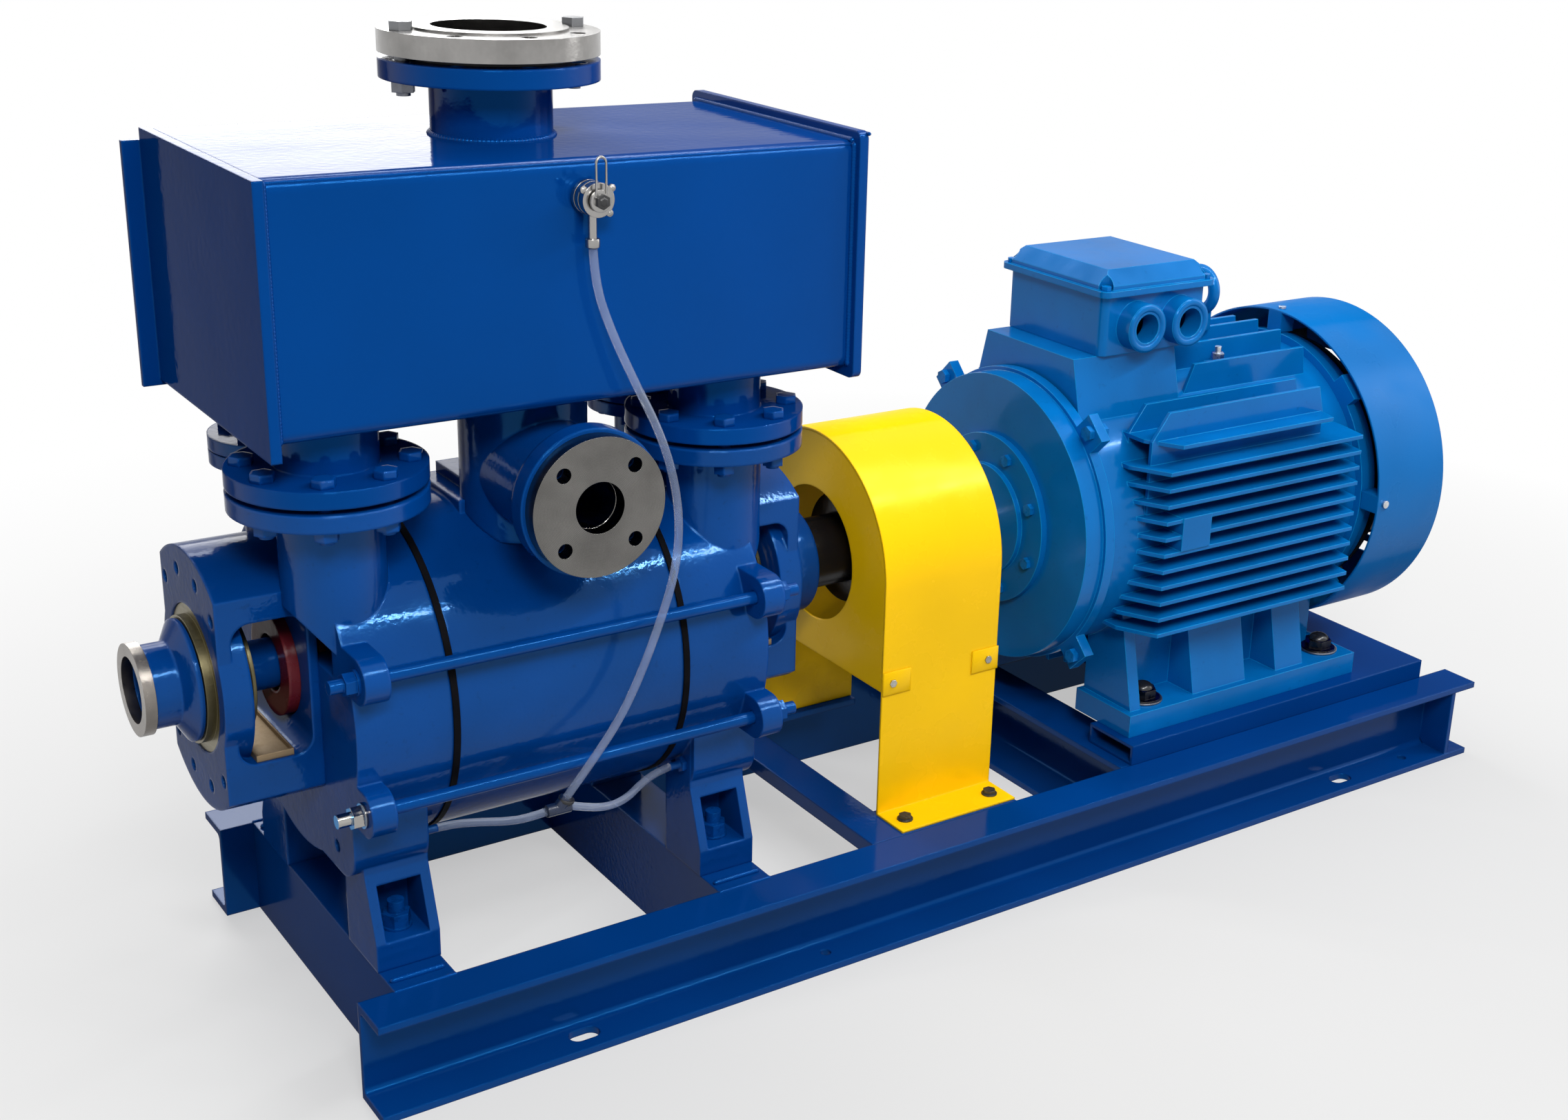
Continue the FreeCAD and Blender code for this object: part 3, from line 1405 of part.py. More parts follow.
def terminal_box():
    body = block(box_x[0], box_x[1], -box_half, box_half, box_z[0], box_z[1])
    corners = edges_where(body, lambda p: abs(p.z - (box_z[0] + box_z[1]) / 2) < 0.1)
    body = body.makeFillet(12, corners)
    hollow = block(box_x[0] + box_wall, box_x[1] - box_wall, -box_half + box_wall,
                   box_half - box_wall, box_z[0] + box_wall, box_z[1] + 1)
    entries, bores = [], []
    for x in entry_x:
        entries.append(rod_y_axis(entry_r, -box_half - entry_length, -box_half + 1, x, entry_z))
        bores.append(rod_y_axis(entry_bore_r, -box_half - entry_length - 1,
                                -box_half + box_wall + 1, x, entry_z))
    body = join([body.cut(hollow)] + entries).cut(bores)
    lid = block(lid_x[0], lid_x[1], -lid_half, lid_half, box_z[1], box_z[1] + lid_flange)
    lid = lid.makeFillet(14, edges_where(
        lid, lambda p: abs(p.z - box_z[1] - lid_flange / 2) < 0.1))
    crown = block(lid_x[0] + 6, lid_x[1] - 6, -lid_half + 6, lid_half - 6,
                  box_z[1] + lid_flange, lid_top_z)
    crown = crown.makeChamfer(lid_chamfer, edges_where(
        crown, lambda p: abs(p.z - lid_top_z) < 0.1))
    well = block(lid_x[0] + 20, lid_x[1] - 20, -lid_half + 20, lid_half - 20,
                 box_z[1] - 1, box_z[1] + lid_flange + 6)
    places = [(x, y) for x in (lid_x[0] + lid_screw_inset, lid_x[1] - lid_screw_inset)
              for y in (-lid_half + lid_screw_inset, lid_half - lid_screw_inset)]
    ear_z = box_z[1] + lid_flange
    notches = [rod_z(lid_screw_inset - 3, ear_z, lid_top_z + 1, x, y) for x, y in places]
    holes = [rod_z(4, box_z[1] - 1, lid_top_z, x, y) for x, y in places]
    keep("terminal_box", body)
    keep("terminal_lid", join([lid, crown]).cut([well] + notches + holes))
    return [screw(8, 13, 6, lid_flange, V(x, y, ear_z), V(0, 0, 1)) for x, y in places]


motor_screws += terminal_box()

eye_ring = Part.makeTorus(eye_r, eye_wire_r, V(eye_x, 0, eye_z), V(1, 0, 0))
eye_foot = rod_z(20, shaft_z + fin_tip, eye_z - eye_r, eye_x, 0)
keep("lifting_eye", join([eye_ring, eye_foot]))
earth_top = earth_boss_top
earth_bolt = join([
    rod_z(5, earth_top, earth_top + 24, earth_x, earth_y),
    hexagon(17, 10, V(earth_x, earth_y, earth_top + 4), V(0, 0, 1)),
])
keep("motor_screws", earth_bolt, *motor_screws)


# Small valve on the tank front
def valve():
    """Stack of discs with an inlet from the tank and an outlet below."""
    front = tank_front - valve_length
    discs = [rod_y_axis(valve_r - 3, front, tank_front - 4, valve_x, valve_z)]
    for start, end in ((0, 10), (12, 20), (22, valve_length - 4)):
        discs.append(rod_y_axis(valve_r, front + start, front + end, valve_x, valve_z))
    inlet = rod_y_axis(valve_pipe_r - bore_clearance, tank_front - 5, tank_front + 1,
                       valve_x, valve_z)
    outlet = rod_z(hose_od / 2, valve_z - valve_drop, valve_z - 4, valve_x, outlet_y)
    return join(discs + [inlet, outlet])


outlet_y = tank_front - valve_length / 2
keep("valve_body", valve())
lever_y = tank_front - valve_length - seat_gap
lever = join([
    rod_y_axis(9, lever_y - 8, lever_y, valve_x, valve_z),
    block(valve_x - 4, valve_x + 4, lever_y - 5, lever_y, valve_z, valve_z + 42),
])
keep("valve_lever", lever)


# Clear hoses: straight runs joined by tangent arcs
def hose_path(points):
    """Wire through the points with an arc at each inner one; returns wire and radii."""
    edges = []
    radii = []
    start = points[0]
    for i in range(1, len(points) - 1):
        before = points[i - 1]
        corner = points[i]
        after = points[i + 1]
        arrive = corner - before
        leave = after - corner
        shorter = min(arrive.Length, leave.Length)
        arrive.normalize()
        leave.normalize()
        turn = arrive.getAngle(leave)
        tangent = 0.45 * shorter
        radius = tangent / math.tan(turn / 2)
        radii.append(round(radius, 1))
        first = corner - arrive * tangent
        last = corner + leave * tangent
        inward = leave - arrive
        inward.normalize()
        centre = corner + inward * (radius / math.cos(turn / 2))
        middle = centre - inward * radius
        edges.append(Part.LineSegment(start, first).toShape())
        edges.append(Part.Arc(first, middle, last).toShape())
        start = last
    edges.append(Part.LineSegment(start, points[-1]).toShape())
    return Part.Wire(edges), radii


def hose(name, route):
    """Hollow hose along its route."""
    points = [V(*p) for p in route]
    path, radii = hose_path(points)
    direction = points[1] - points[0]
    tubes = []
    for r in (hose_od / 2, hose_bore / 2):
        circle = Part.Wire([Part.makeCircle(r, points[0], direction)])
        tubes.append(path.makePipeShell([circle], True, False))
    wall = tubes[0].cut(tubes[1])
    ideal = math.pi * ((hose_od / 2) ** 2 - (hose_bore / 2) ** 2) * path.Length
    print(name, "radii", radii, "length", round(path.Length, 1),
          "volume ratio", round(wall.Volume / ideal, 4))
    keep(name, wall)


main_route = [
    (valve_x, outlet_y, valve_z - valve_drop),
    (-613, -217, 925),
    (-598, -224, 872),
    (-574, -234, 812),
    (-545, -241, 750),
    (-527, -244, 690),
    (-521, -246, 630),
    (-529, -247, 572),
    (-549, -247, 516),
    (-572, -246, 460),
    (-598, -244, 408),
    (-632, -240, 360),
    (-665, -230, 312),
]
leg_face = leg_offset - leg_width / 2
left_start = pump_x - leg_face + barb_reach
left_route = [
    (left_start, -150, 271),
    (left_start + 21, -152, 271.5),
    (left_start + 47, -168, 274),
    (left_start + 71, -194, 280),
    (left_start + 87, -216, 290),
    (left_start + 105, -228, 299),
]
right_start = pump_x + leg_face - barb_reach
right_route = [
    (right_start, -150, 271),
    (right_start - 22, -152, 269),
    (right_start - 51, -166, 266),
    (right_start - 81, -190, 267),
    (right_start - 113, -210, 273),
    (right_start - 146, -222, 284),
    (right_start - 179, -228, 299),
]
hose("hose_main", main_route)
hose("hose_left", left_route)
hose("hose_right", right_route)


def hose_fittings():
    """Tee where the three hoses meet, and a barb on each leg."""
    tee_left = V(*left_route[-1])
    tee_right = V(*right_route[-1])
    top = V(*main_route[-1])
    middle = (tee_left + tee_right) / 2
    run = cylinder(tee_r, tee_right.x - tee_left.x, tee_left, V(1, 0, 0))
    branch = cylinder(tee_r, (top - middle).Length, middle, top - middle)
    keep("hose_tee", join([run, branch]))
    barbs = []
    for side, route in ((-1, left_route), (1, right_route)):
        end = V(*route[0])
        start = V(pump_x + side * leg_face, end.y, end.z)
        barb = cylinder(barb_r, (end - start).Length, start, end - start)
        nut = hexagon(19, 6, start, end - start)
        barbs.append(join([barb, nut]))
    keep("hose_barbs", *barbs)


hose_fittings()

os.makedirs("parts", exist_ok=True)
for name, shape in parts.items():
    shape.exportStep(os.path.join("parts", name + ".step"))
print(len(parts), "parts")
for name, shape in parts.items():
    if not shape.isValid():
        print("invalid", name)
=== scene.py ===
import math
import bpy
from mathutils import Matrix, Vector

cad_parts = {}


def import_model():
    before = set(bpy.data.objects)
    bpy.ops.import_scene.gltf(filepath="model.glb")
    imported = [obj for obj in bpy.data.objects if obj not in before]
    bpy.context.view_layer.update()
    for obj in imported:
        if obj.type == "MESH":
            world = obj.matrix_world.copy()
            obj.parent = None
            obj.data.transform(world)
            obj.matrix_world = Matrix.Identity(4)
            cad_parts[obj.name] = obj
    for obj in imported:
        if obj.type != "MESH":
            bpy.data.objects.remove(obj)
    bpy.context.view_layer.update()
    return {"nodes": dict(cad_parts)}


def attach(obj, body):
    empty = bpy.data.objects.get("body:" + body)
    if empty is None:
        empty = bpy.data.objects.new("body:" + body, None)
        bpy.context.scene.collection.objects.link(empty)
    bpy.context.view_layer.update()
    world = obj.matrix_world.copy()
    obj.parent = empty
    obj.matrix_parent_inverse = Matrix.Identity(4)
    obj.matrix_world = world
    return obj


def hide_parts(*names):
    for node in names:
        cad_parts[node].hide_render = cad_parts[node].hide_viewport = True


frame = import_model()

nodes = frame["nodes"]

# Camera: place, direction and lens found from the corners of the machine in the photograph
photo_width = 2273
camera_place = Vector((-1.6142, -2.1621, 1.4155))
camera_azimuth = -36.6
camera_elevation = 20.0
camera_roll = 2.5
focal_pixels = 2897.1
centre_right_pixels = 178.2
centre_up_pixels = 17.7
sensor_mm = 36.0

# Sizes of the machine that the dressing needs, in metres
shaft_z = 0.458
base_top = 0.128
inner_y = 0.242
pump_x = -0.638
leg_offset = 0.216
foot_end_y = 0.221
branch_offset = 0.246
branch_y = -0.103
branch_radius = 0.05715
outlet_x = -0.630
neck_radius = 0.06985
neck_wall_seen = 0.002
suction_x = -0.630
suction_z = 0.677
suction_front = -0.258
suction_bore_radius = 0.032
tank_left = -0.979
tank_right = -0.248
tank_front = -0.200
tank_rear = 0.170
tank_bottom = 0.7805
tank_top = 1.057
tank_end_t = 0.012
right_lip = 0.012
right_plate_rise = 0.009
motor_start_x = 0.10
fan_end_x = 0.70
foot_pad_top = 0.194
foot_bolt_x = (0.312, 0.690)
foot_bolt_y = 0.175
entry_x = (0.299, 0.382)
entry_face_y = -0.1325
entry_z = 0.753
guard_bolt_top = base_top + 0.06
guard_tab_x = (-0.147, 0.003)
guard_tab_y = -0.1770
guard_tab_z = 0.324
guard_tab_size = (0.046, 0.0016, 0.034)

# Fasteners without paint: middle of each, and how far the bare metal reaches
earth_bolt = (0.500, -0.078, 0.682)
earth_bolt_reach = 0.03
bare_tie_nut = (-0.922, -0.215, 0.347)
tie_nut_reach = 0.034

# Valve and hose fittings
valve_x = -0.614
valve_z = 1.017
valve_front = -0.232
valve_screw_places = ((-0.017, 0.012), (0.017, 0.012), (0.014, -0.015))
hose_clamp_place = (-0.614, -0.216, 0.968)
tee_tie_place = (-0.6650, -0.2295, 0.3090)
tee_tie_axis = (0.25, -0.15, 0.95)

# Weld beads: radius of the drops, where the beads lie and stop, and the spacing of the drops
bead = 0.0042
seam_bead = 0.0024
foot_bead = 0.0038
cross_bead = 0.0026
foot_bead_half = 0.030
cross_bead_half = 0.036
foot_bead_rise = 0.0015
cross_bead_sink = 0.0005
corner_gap = 0.006
left_corner_gap = 0.004
seam_inset = 0.0045
drop_stretch = 1.3
row_pitch = 0.95
ring_pitch = 1.1

# Lever loop, foot nut domes and cable entry lips
loop_radius = 0.0075
loop_wire = 0.0016
loop_stretch = 0.030
loop_narrowing = 0.8
loop_forward = 0.006
loop_rise = 0.010
dome_radius = 0.0155
dome_flattening = 0.62
lip_radius = 0.0295
lip_round = 0.0055
lip_flattening = 0.75

# Angles, in degrees, up to which shading runs smoothly over an edge
rim_angle = 35
dome_angle = 40

# Directions
towards_viewer = (0.0, -1.0, 0.0)
upwards = (0.0, 0.0, 1.0)
downwards = (0.0, 0.0, -1.0)
all_round = (1.0, 1.0, 1.0)
round_upright = (1.0, 1.0, 0.0)
along_suction = (1.0, 0.1, 1.0)

# Paint and metal colours, as light values
base_blue = (0.0002, 0.035, 0.178)
tank_blue = (0.0002, 0.034, 0.185)
cast_blue = (0.0003, 0.038, 0.195)
motor_blue = (0.0006, 0.122, 0.390)
guard_yellow = (0.900, 0.530, 0.002)
stainless_grey = (0.33, 0.322, 0.312)
dark_bolt = (0.045, 0.042, 0.040)
bolt_bright = (0.62, 0.62, 0.62)
earth_bolt_grey = (0.62, 0.62, 0.60)
bolt_grey = (0.20, 0.205, 0.215)
guard_bolt_dark = (0.030, 0.028, 0.026)
guard_bolt_grey = (0.42, 0.41, 0.38)
bare_steel = (0.40, 0.39, 0.37)
ground_steel = (0.50, 0.50, 0.51)
suction_grey = (0.17, 0.165, 0.157)
rim_grey = (0.24, 0.22, 0.20)
ring_bronze = (0.150, 0.130, 0.070)
tray_tan = (0.30, 0.22, 0.13)
packing_red = (0.110, 0.008, 0.012)
coupling_black = (0.006, 0.006, 0.007)
nut_black = (0.010, 0.010, 0.011)
rubber_black = (0.012, 0.012, 0.013)
plate_edge_black = (0.003, 0.003, 0.004)
tee_blue_black = (0.006, 0.014, 0.040)
hose_clear = (0.34, 0.42, 0.60)
hose_milky = (0.46, 0.54, 0.72)

# Stains on bare metal
steel_stain = (0.30, 0.24, 0.18)
flange_stain = (0.20, 0.17, 0.13)
ring_stain = (0.06, 0.05, 0.02)
bolt_stain = (0.08, 0.06, 0.05)

# Colours of the gloss on each paint
blue_sheen = (0.03, 0.36, 1.0)
cast_sheen = (0.07, 0.42, 1.0)
yellow_sheen = (1.0, 0.80, 0.10)
white_sheen = (1.0, 1.0, 1.0)

# Light: what the white room gives to surfaces, and what is seen of it
room_light = 0.17
room_seen = 1.0
floor_grey = (0.46, 0.46, 0.457)
floor_white_from = 1.0
floor_white_to = 2.4
floor_glow_near = 0.50
floor_size = 60.0
machine_middle = (0.0, 0.0, 0.5)


def linked(tree, source, target):
    """Output of one node joined to the input of another."""
    tree.links.new(source, target)


def material(name):
    """Empty node material with its shader and the piece's own coordinates."""
    mat = bpy.data.materials.new(name)
    mat.use_nodes = True
    tree = mat.node_tree
    shader = tree.nodes["Principled BSDF"]
    place = tree.nodes.new("ShaderNodeTexCoord").outputs["Object"]
    return mat, tree, shader, place


def maths(tree, operation, first, second):
    """Sum, product or comparison of two values, each a number or an output."""
    node = tree.nodes.new("ShaderNodeMath")
    node.operation = operation
    for socket, value in zip(node.inputs, (first, second)):
        if isinstance(value, float):
            socket.default_value = value
        else:
            linked(tree, value, socket)
    return node.outputs["Value"]


def distance(tree, place):
    """Distance of a point from the middle of its coordinates."""
    node = tree.nodes.new("ShaderNodeVectorMath")
    node.operation = "LENGTH"
    linked(tree, place, node.inputs[0])
    return node.outputs["Value"]


def noise(tree, place, scale, detail=3.0, roughness=0.5):
    """Soft random value over the piece, about 0.5 in the middle."""
    node = tree.nodes.new("ShaderNodeTexNoise")
    node.inputs["Scale"].default_value = scale
    node.inputs["Detail"].default_value = detail
    node.inputs["Roughness"].default_value = roughness
    linked(tree, place, node.inputs["Vector"])
    return node.outputs["Fac"]


def span(tree, value, low, high, out_low, out_high):
    """Value between low and high spread over out_low to out_high."""
    node = tree.nodes.new("ShaderNodeMapRange")
    node.inputs["From Min"].default_value = low
    node.inputs["From Max"].default_value = high
    node.inputs["To Min"].default_value = out_low
    node.inputs["To Max"].default_value = out_high
    linked(tree, value, node.inputs["Value"])
    return node.outputs["Result"]


def blend(tree, factor, first, second):
    """Mix of two colours by a factor; each is a colour or an output."""
    node = tree.nodes.new("ShaderNodeMix")
    node.data_type = "RGBA"
    linked(tree, factor, node.inputs["Factor"])
    for name, value in (("A", first), ("B", second)):
        socket = [s for s in node.inputs if s.name == name and s.type == "RGBA"][0]
        if isinstance(value, tuple):
            socket.default_value = (*value, 1.0)
        else:
            linked(tree, value, socket)
    return [s for s in node.outputs if s.type == "RGBA"][0]


def edge_normal(tree, radius):
    """Normal that rounds the edges of a piece."""
    node = tree.nodes.new("ShaderNodeBevel")
    node.samples = 4
    node.inputs["Radius"].default_value = radius
    return node.outputs["Normal"]


def bumped(tree, shader, height, strength, distance, radius):
    """Bump over rounded edges."""
    node = tree.nodes.new("ShaderNodeBump")
    node.inputs["Strength"].default_value = strength
    node.inputs["Distance"].default_value = distance
    linked(tree, height, node.inputs["Height"])
    if radius:
        linked(tree, edge_normal(tree, radius), node.inputs["Normal"])
    linked(tree, node.outputs["Normal"], shader.inputs["Normal"])
    return node.outputs["Normal"]


def edge_share(tree, radius):
    """1 on the edges of a piece and 0 on its faces."""
    shape = tree.nodes.new("ShaderNodeNewGeometry")
    dot = tree.nodes.new("ShaderNodeVectorMath")
    dot.operation = "DOT_PRODUCT"
    linked(tree, edge_normal(tree, radius), dot.inputs[0])
    linked(tree, shape.outputs["Normal"], dot.inputs[1])
    return span(tree, dot.outputs["Value"], 0.80, 0.98, 1.0, 0.0)


def gloss_level(tree, shader, normal, flat_gloss, clear=0.0):
    """Full gloss where the paint is seen straight on, less where it is seen flat along."""
    weight = tree.nodes.new("ShaderNodeLayerWeight")
    weight.inputs["Blend"].default_value = 0.5
    linked(tree, normal, weight.inputs["Normal"])
    linked(tree, span(tree, weight.outputs["Facing"], 0.25, 0.60, 0.60, flat_gloss),
           shader.inputs["Specular IOR Level"])
    linked(tree, span(tree, weight.outputs["Facing"], 0.20, 0.55, clear, 0.0),
           shader.inputs["Coat Weight"])


def scaled(colour, factor):
    """Colour made lighter or darker by a factor."""
    return tuple(min(1.0, c * factor) for c in colour)


def paint(name, colour, sheen, rough=0.10, peel=0.10, grain=160.0, radius=0.0034, sway=1.5):
    """Gloss paint: slow colour drift, orange peel over a slightly wavy plate, worn edges."""
    mat, tree, shader, place = material(name)
    drift = span(tree, noise(tree, place, 3.5, 2.0), 0.3, 0.7, 0.0, 1.0)
    body = blend(tree, drift, scaled(colour, 0.90), scaled(colour, 1.10))
    spots = span(tree, noise(tree, place, 46.0, 6.0, 0.65), 0.68, 0.84, 0.0, 0.16)
    dusty = blend(tree, spots, body, tuple(c * 0.9 + 0.008 for c in colour))
    patches = span(tree, noise(tree, place, 24.0, 5.0), 0.40, 0.72, 0.0, 0.40)
    wear = maths(tree, "MULTIPLY", edge_share(tree, radius), patches)
    final = blend(tree, wear, dusty, tuple(c * 1.5 + 0.006 for c in colour))
    linked(tree, final, shader.inputs["Base Color"])
    gloss = span(tree, noise(tree, place, 14.0, 4.0), 0.3, 0.7, rough * 0.7, rough * 1.5)
    linked(tree, gloss, shader.inputs["Roughness"])
    shader.inputs["Specular Tint"].default_value = (*sheen, 1.0)
    plate = maths(tree, "MULTIPLY", noise(tree, place, 5.5, 1.0), sway)
    height = maths(tree, "ADD", plate, noise(tree, place, grain, 1.5))
    normal = bumped(tree, shader, height, peel, 0.0012, radius)
    gloss_level(tree, shader, normal, 0.005)
    return mat


def cast_paint(name, colour, sheen, rough=0.10, radius=0.0046, wave=0.13, sand=0.60,
               edge_glint_and_wear_lift=2.1, clear=0.0):
    """Paint over a sand casting: wide waves and fine grain under the gloss, and edges painted
    lighter as a highlight.
    """
    mat, tree, shader, place = material(name)
    drift = span(tree, noise(tree, place, 5.0, 3.0), 0.3, 0.7, 0.0, 1.0)
    body = blend(tree, drift, scaled(colour, 0.80), scaled(colour, 1.18))
    pits = span(tree, noise(tree, place, 90.0, 5.0, 0.6), 0.28, 0.38, 0.35, 0.0)
    shaded = blend(tree, pits, body, scaled(colour, 0.5))
    # Painted highlight: the edges are lifted to a lighter colour as a glint, which also stands
    # for paint worn thin there.
    edge = span(tree, edge_share(tree, radius), 0.0, 1.0, 0.0, 0.55)
    linked(tree, blend(tree, edge, shaded, scaled(colour, edge_glint_and_wear_lift)),
           shader.inputs["Base Color"])
    gloss = span(tree, noise(tree, place, 20.0, 4.0), 0.3, 0.7, rough * 0.6, rough * 1.6)
    linked(tree, gloss, shader.inputs["Roughness"])
    shader.inputs["Specular Tint"].default_value = (*sheen, 1.0)
    grains = maths(tree, "MULTIPLY", noise(tree, place, 150.0, 1.0), sand)
    height = maths(tree, "ADD", noise(tree, place, 30.0, 1.0), grains)
    normal = bumped(tree, shader, height, wave, 0.0022, radius)
    gloss_level(tree, shader, normal, 0.015, clear)
    shader.inputs["Coat Roughness"].default_value = 0.06
    linked(tree, normal, shader.inputs["Coat Normal"])
    return mat


def metal(name, colour, rough=0.28, radius=0.0012, turned=False, stain=steel_stain,
          stain_share=0.25):
    """Bare metal with fine machining marks, handling marks and a little staining."""
    mat, tree, shader, place = material(name)
    marks = tree.nodes.new("ShaderNodeMapping")
    marks.inputs["Scale"].default_value = (1.0, 1.0, 14.0) if not turned else (14.0, 1.0, 1.0)
    linked(tree, place, marks.inputs["Vector"])
    lines = noise(tree, marks.outputs["Vector"], 90.0, 5.0, 0.7)
    drift = span(tree, noise(tree, place, 9.0, 4.0), 0.35, 0.65, 0.0, 1.0)
    body = blend(tree, drift, scaled(colour, 0.80), scaled(colour, 1.08))
    spots = span(tree, noise(tree, place, 55.0, 6.0, 0.7), 0.60, 0.78, 0.0, stain_share)
    linked(tree, blend(tree, spots, body, stain), shader.inputs["Base Color"])
    shader.inputs["Metallic"].default_value = 1.0
    linked(tree, span(tree, lines, 0.2, 0.8, rough * 0.7, rough * 1.5),
           shader.inputs["Roughness"])
    bumped(tree, shader, lines, 0.10, 0.0006, radius)
    return mat


def turned_metal(name, colour, centre, axis, rough=0.22, pitch=0.0016):
    """Faced flange steel: fine rings about its axis, with handling marks."""
    mat, tree, shader, place = material(name)
    centred = tree.nodes.new("ShaderNodeMapping")
    centred.inputs["Location"].default_value = tuple(-c for c in centre)
    linked(tree, place, centred.inputs["Vector"])
    rings = tree.nodes.new("ShaderNodeTexWave")
    rings.wave_type = "RINGS"
    rings.rings_direction = axis
    rings.inputs["Scale"].default_value = math.tau / (20.0 * pitch)
    rings.inputs["Distortion"].default_value = 1.2
    rings.inputs["Detail"].default_value = 3.0
    rings.inputs["Detail Scale"].default_value = 0.6
    linked(tree, centred.outputs["Vector"], rings.inputs["Vector"])
    marks = rings.outputs["Fac"]
    drift = span(tree, noise(tree, place, 16.0, 5.0), 0.35, 0.65, 0.0, 1.0)
    body = blend(tree, drift, scaled(colour, 0.78), scaled(colour, 1.10))
    cut = span(tree, marks, 0.0, 1.0, 0.30, 0.0)
    grooved = blend(tree, cut, body, scaled(colour, 0.45))
    spots = span(tree, noise(tree, place, 60.0, 6.0, 0.7), 0.64, 0.80, 0.0, 0.35)
    linked(tree, blend(tree, spots, grooved, flange_stain), shader.inputs["Base Color"])
    shader.inputs["Metallic"].default_value = 1.0
    shader.inputs["Anisotropic"].default_value = 0.8
    lay = tree.nodes.new("ShaderNodeTangent")
    lay.direction_type = "RADIAL"
    lay.axis = axis
    linked(tree, lay.outputs["Tangent"], shader.inputs["Tangent"])
    linked(tree, span(tree, marks, 0.0, 1.0, rough * 0.7, rough * 1.5),
           shader.inputs["Roughness"])
    bumped(tree, shader, marks, 0.22, 0.0004, 0.0008)
    return mat


def beyond(tree, place, axis, limit):
    """1 where a coordinate is over a limit and 0 elsewhere."""
    parts = tree.nodes.new("ShaderNodeSeparateXYZ")
    linked(tree, place, parts.inputs[0])
    return maths(tree, "GREATER_THAN", parts.outputs[axis], limit)


def painted_and_bare(name, colour, sheen, bare, axis, limit, rough=0.30):
    """Fasteners painted over on one side of a limit and bare metal past it."""
    mat, tree, shader, place = material(name)
    drift = span(tree, noise(tree, place, 60.0, 5.0), 0.3, 0.7, 0.0, 1.0)
    coat = blend(tree, drift, scaled(colour, 0.75), scaled(colour, 1.25))
    steel = blend(tree, drift, scaled(bare, 0.6), scaled(bare, 1.3))
    share = beyond(tree, place, axis, limit)
    linked(tree, blend(tree, share, coat, steel), shader.inputs["Base Color"])
    linked(tree, share, shader.inputs["Metallic"])
    linked(tree, span(tree, noise(tree, place, 120.0, 4.0), 0.3, 0.7, rough * 0.6, rough * 1.5),
           shader.inputs["Roughness"])
    shader.inputs["Specular Tint"].default_value = (*sheen, 1.0)
    normal = bumped(tree, shader, noise(tree, place, 260.0, 3.0), 0.14, 0.0006, 0.0012)
    gloss_level(tree, shader, normal, 0.03)
    return mat


def bare_near(mat, centre, weights, radius, bare=bare_steel):
    """Bare steel near a centre, such as inside a bore, and paint on the rest.

    Each weight says how much its axis counts: 0 reaches without end along it.
    """
    tree = mat.node_tree
    shader = tree.nodes["Principled BSDF"]
    painted = shader.inputs["Base Color"].links[0].from_socket
    value = tree.nodes.new("ShaderNodeTexCoord").outputs["Object"]
    for step, vector in (("SUBTRACT", centre), ("MULTIPLY", weights)):
        node = tree.nodes.new("ShaderNodeVectorMath")
        node.operation = step
        node.inputs[1].default_value = vector
        linked(tree, value, node.inputs[0])
        value = node.outputs["Vector"]
    near = maths(tree, "LESS_THAN", distance(tree, value), radius)
    share = near
    if shader.inputs["Metallic"].links:
        share = maths(tree, "MAXIMUM", near, shader.inputs["Metallic"].links[0].from_socket)
    linked(tree, blend(tree, near, painted, bare), shader.inputs["Base Color"])
    linked(tree, share, shader.inputs["Metallic"])
    return mat


def rubber(name, colour=rubber_black, rough=0.6, gloss=0.5):
    """Black rubber or plastic with a fine matt grain."""
    mat, tree, shader, place = material(name)
    drift = span(tree, noise(tree, place, 30.0, 4.0), 0.3, 0.7, 0.0, 1.0)
    linked(tree, blend(tree, drift, scaled(colour, 0.8), scaled(colour, 1.6)),
           shader.inputs["Base Color"])
    linked(tree, span(tree, noise(tree, place, 80.0, 3.0), 0.3, 0.7, rough * 0.8, rough),
           shader.inputs["Roughness"])
    shader.inputs["Specular IOR Level"].default_value = gloss
    bumped(tree, shader, noise(tree, place, 420.0, 2.0), 0.15, 0.0004, 0.0010)
    return mat


def clear_plastic(name):
    """Soft clear hose, slightly milky."""
    mat, tree, shader, place = material(name)
    milk = span(tree, noise(tree, place, 26.0, 3.0), 0.3, 0.7, 0.0, 1.0)
    linked(tree, blend(tree, milk, hose_clear, hose_milky), shader.inputs["Base Color"])
    linked(tree, span(tree, noise(tree, place, 60.0, 3.0), 0.3, 0.7, 0.10, 0.24),
           shader.inputs["Roughness"])
    shader.inputs["Transmission Weight"].default_value = 0.55
    shader.inputs["IOR"].default_value = 1.30
    shader.inputs["Alpha"].default_value = 0.48
    bumped(tree, shader, noise(tree, place, 120.0, 2.0), 0.05, 0.0005, 0.0)
    return mat


blue_paint = paint("skid_blue_gloss", base_blue, blue_sheen)
tank_paint = paint("tank_blue_gloss", tank_blue, blue_sheen, rough=0.07, grain=90.0, peel=0.16,
                   sway=9.0)
bead_paint = cast_paint("weld_blue_gloss", tank_blue, blue_sheen, rough=0.10, radius=0.0006)
cast_gloss = cast_paint("casting_blue_gloss", cast_blue, cast_sheen, wave=0.15, clear=0.14)
neck_paint = bare_near(paint("outlet_neck_blue", tank_blue, blue_sheen, rough=0.08),
                       (outlet_x, 0.0, 0.0), round_upright, neck_radius - neck_wall_seen)
suction_paint = bare_near(cast_paint("suction_body_blue", cast_blue, cast_sheen),
                          (suction_x, suction_front, suction_z), along_suction,
                          suction_bore_radius)
tie_rod_paint = bare_near(cast_paint("tie_rod_blue", cast_blue, cast_sheen, radius=0.0012),
                          bare_tie_nut, all_round, tie_nut_reach)
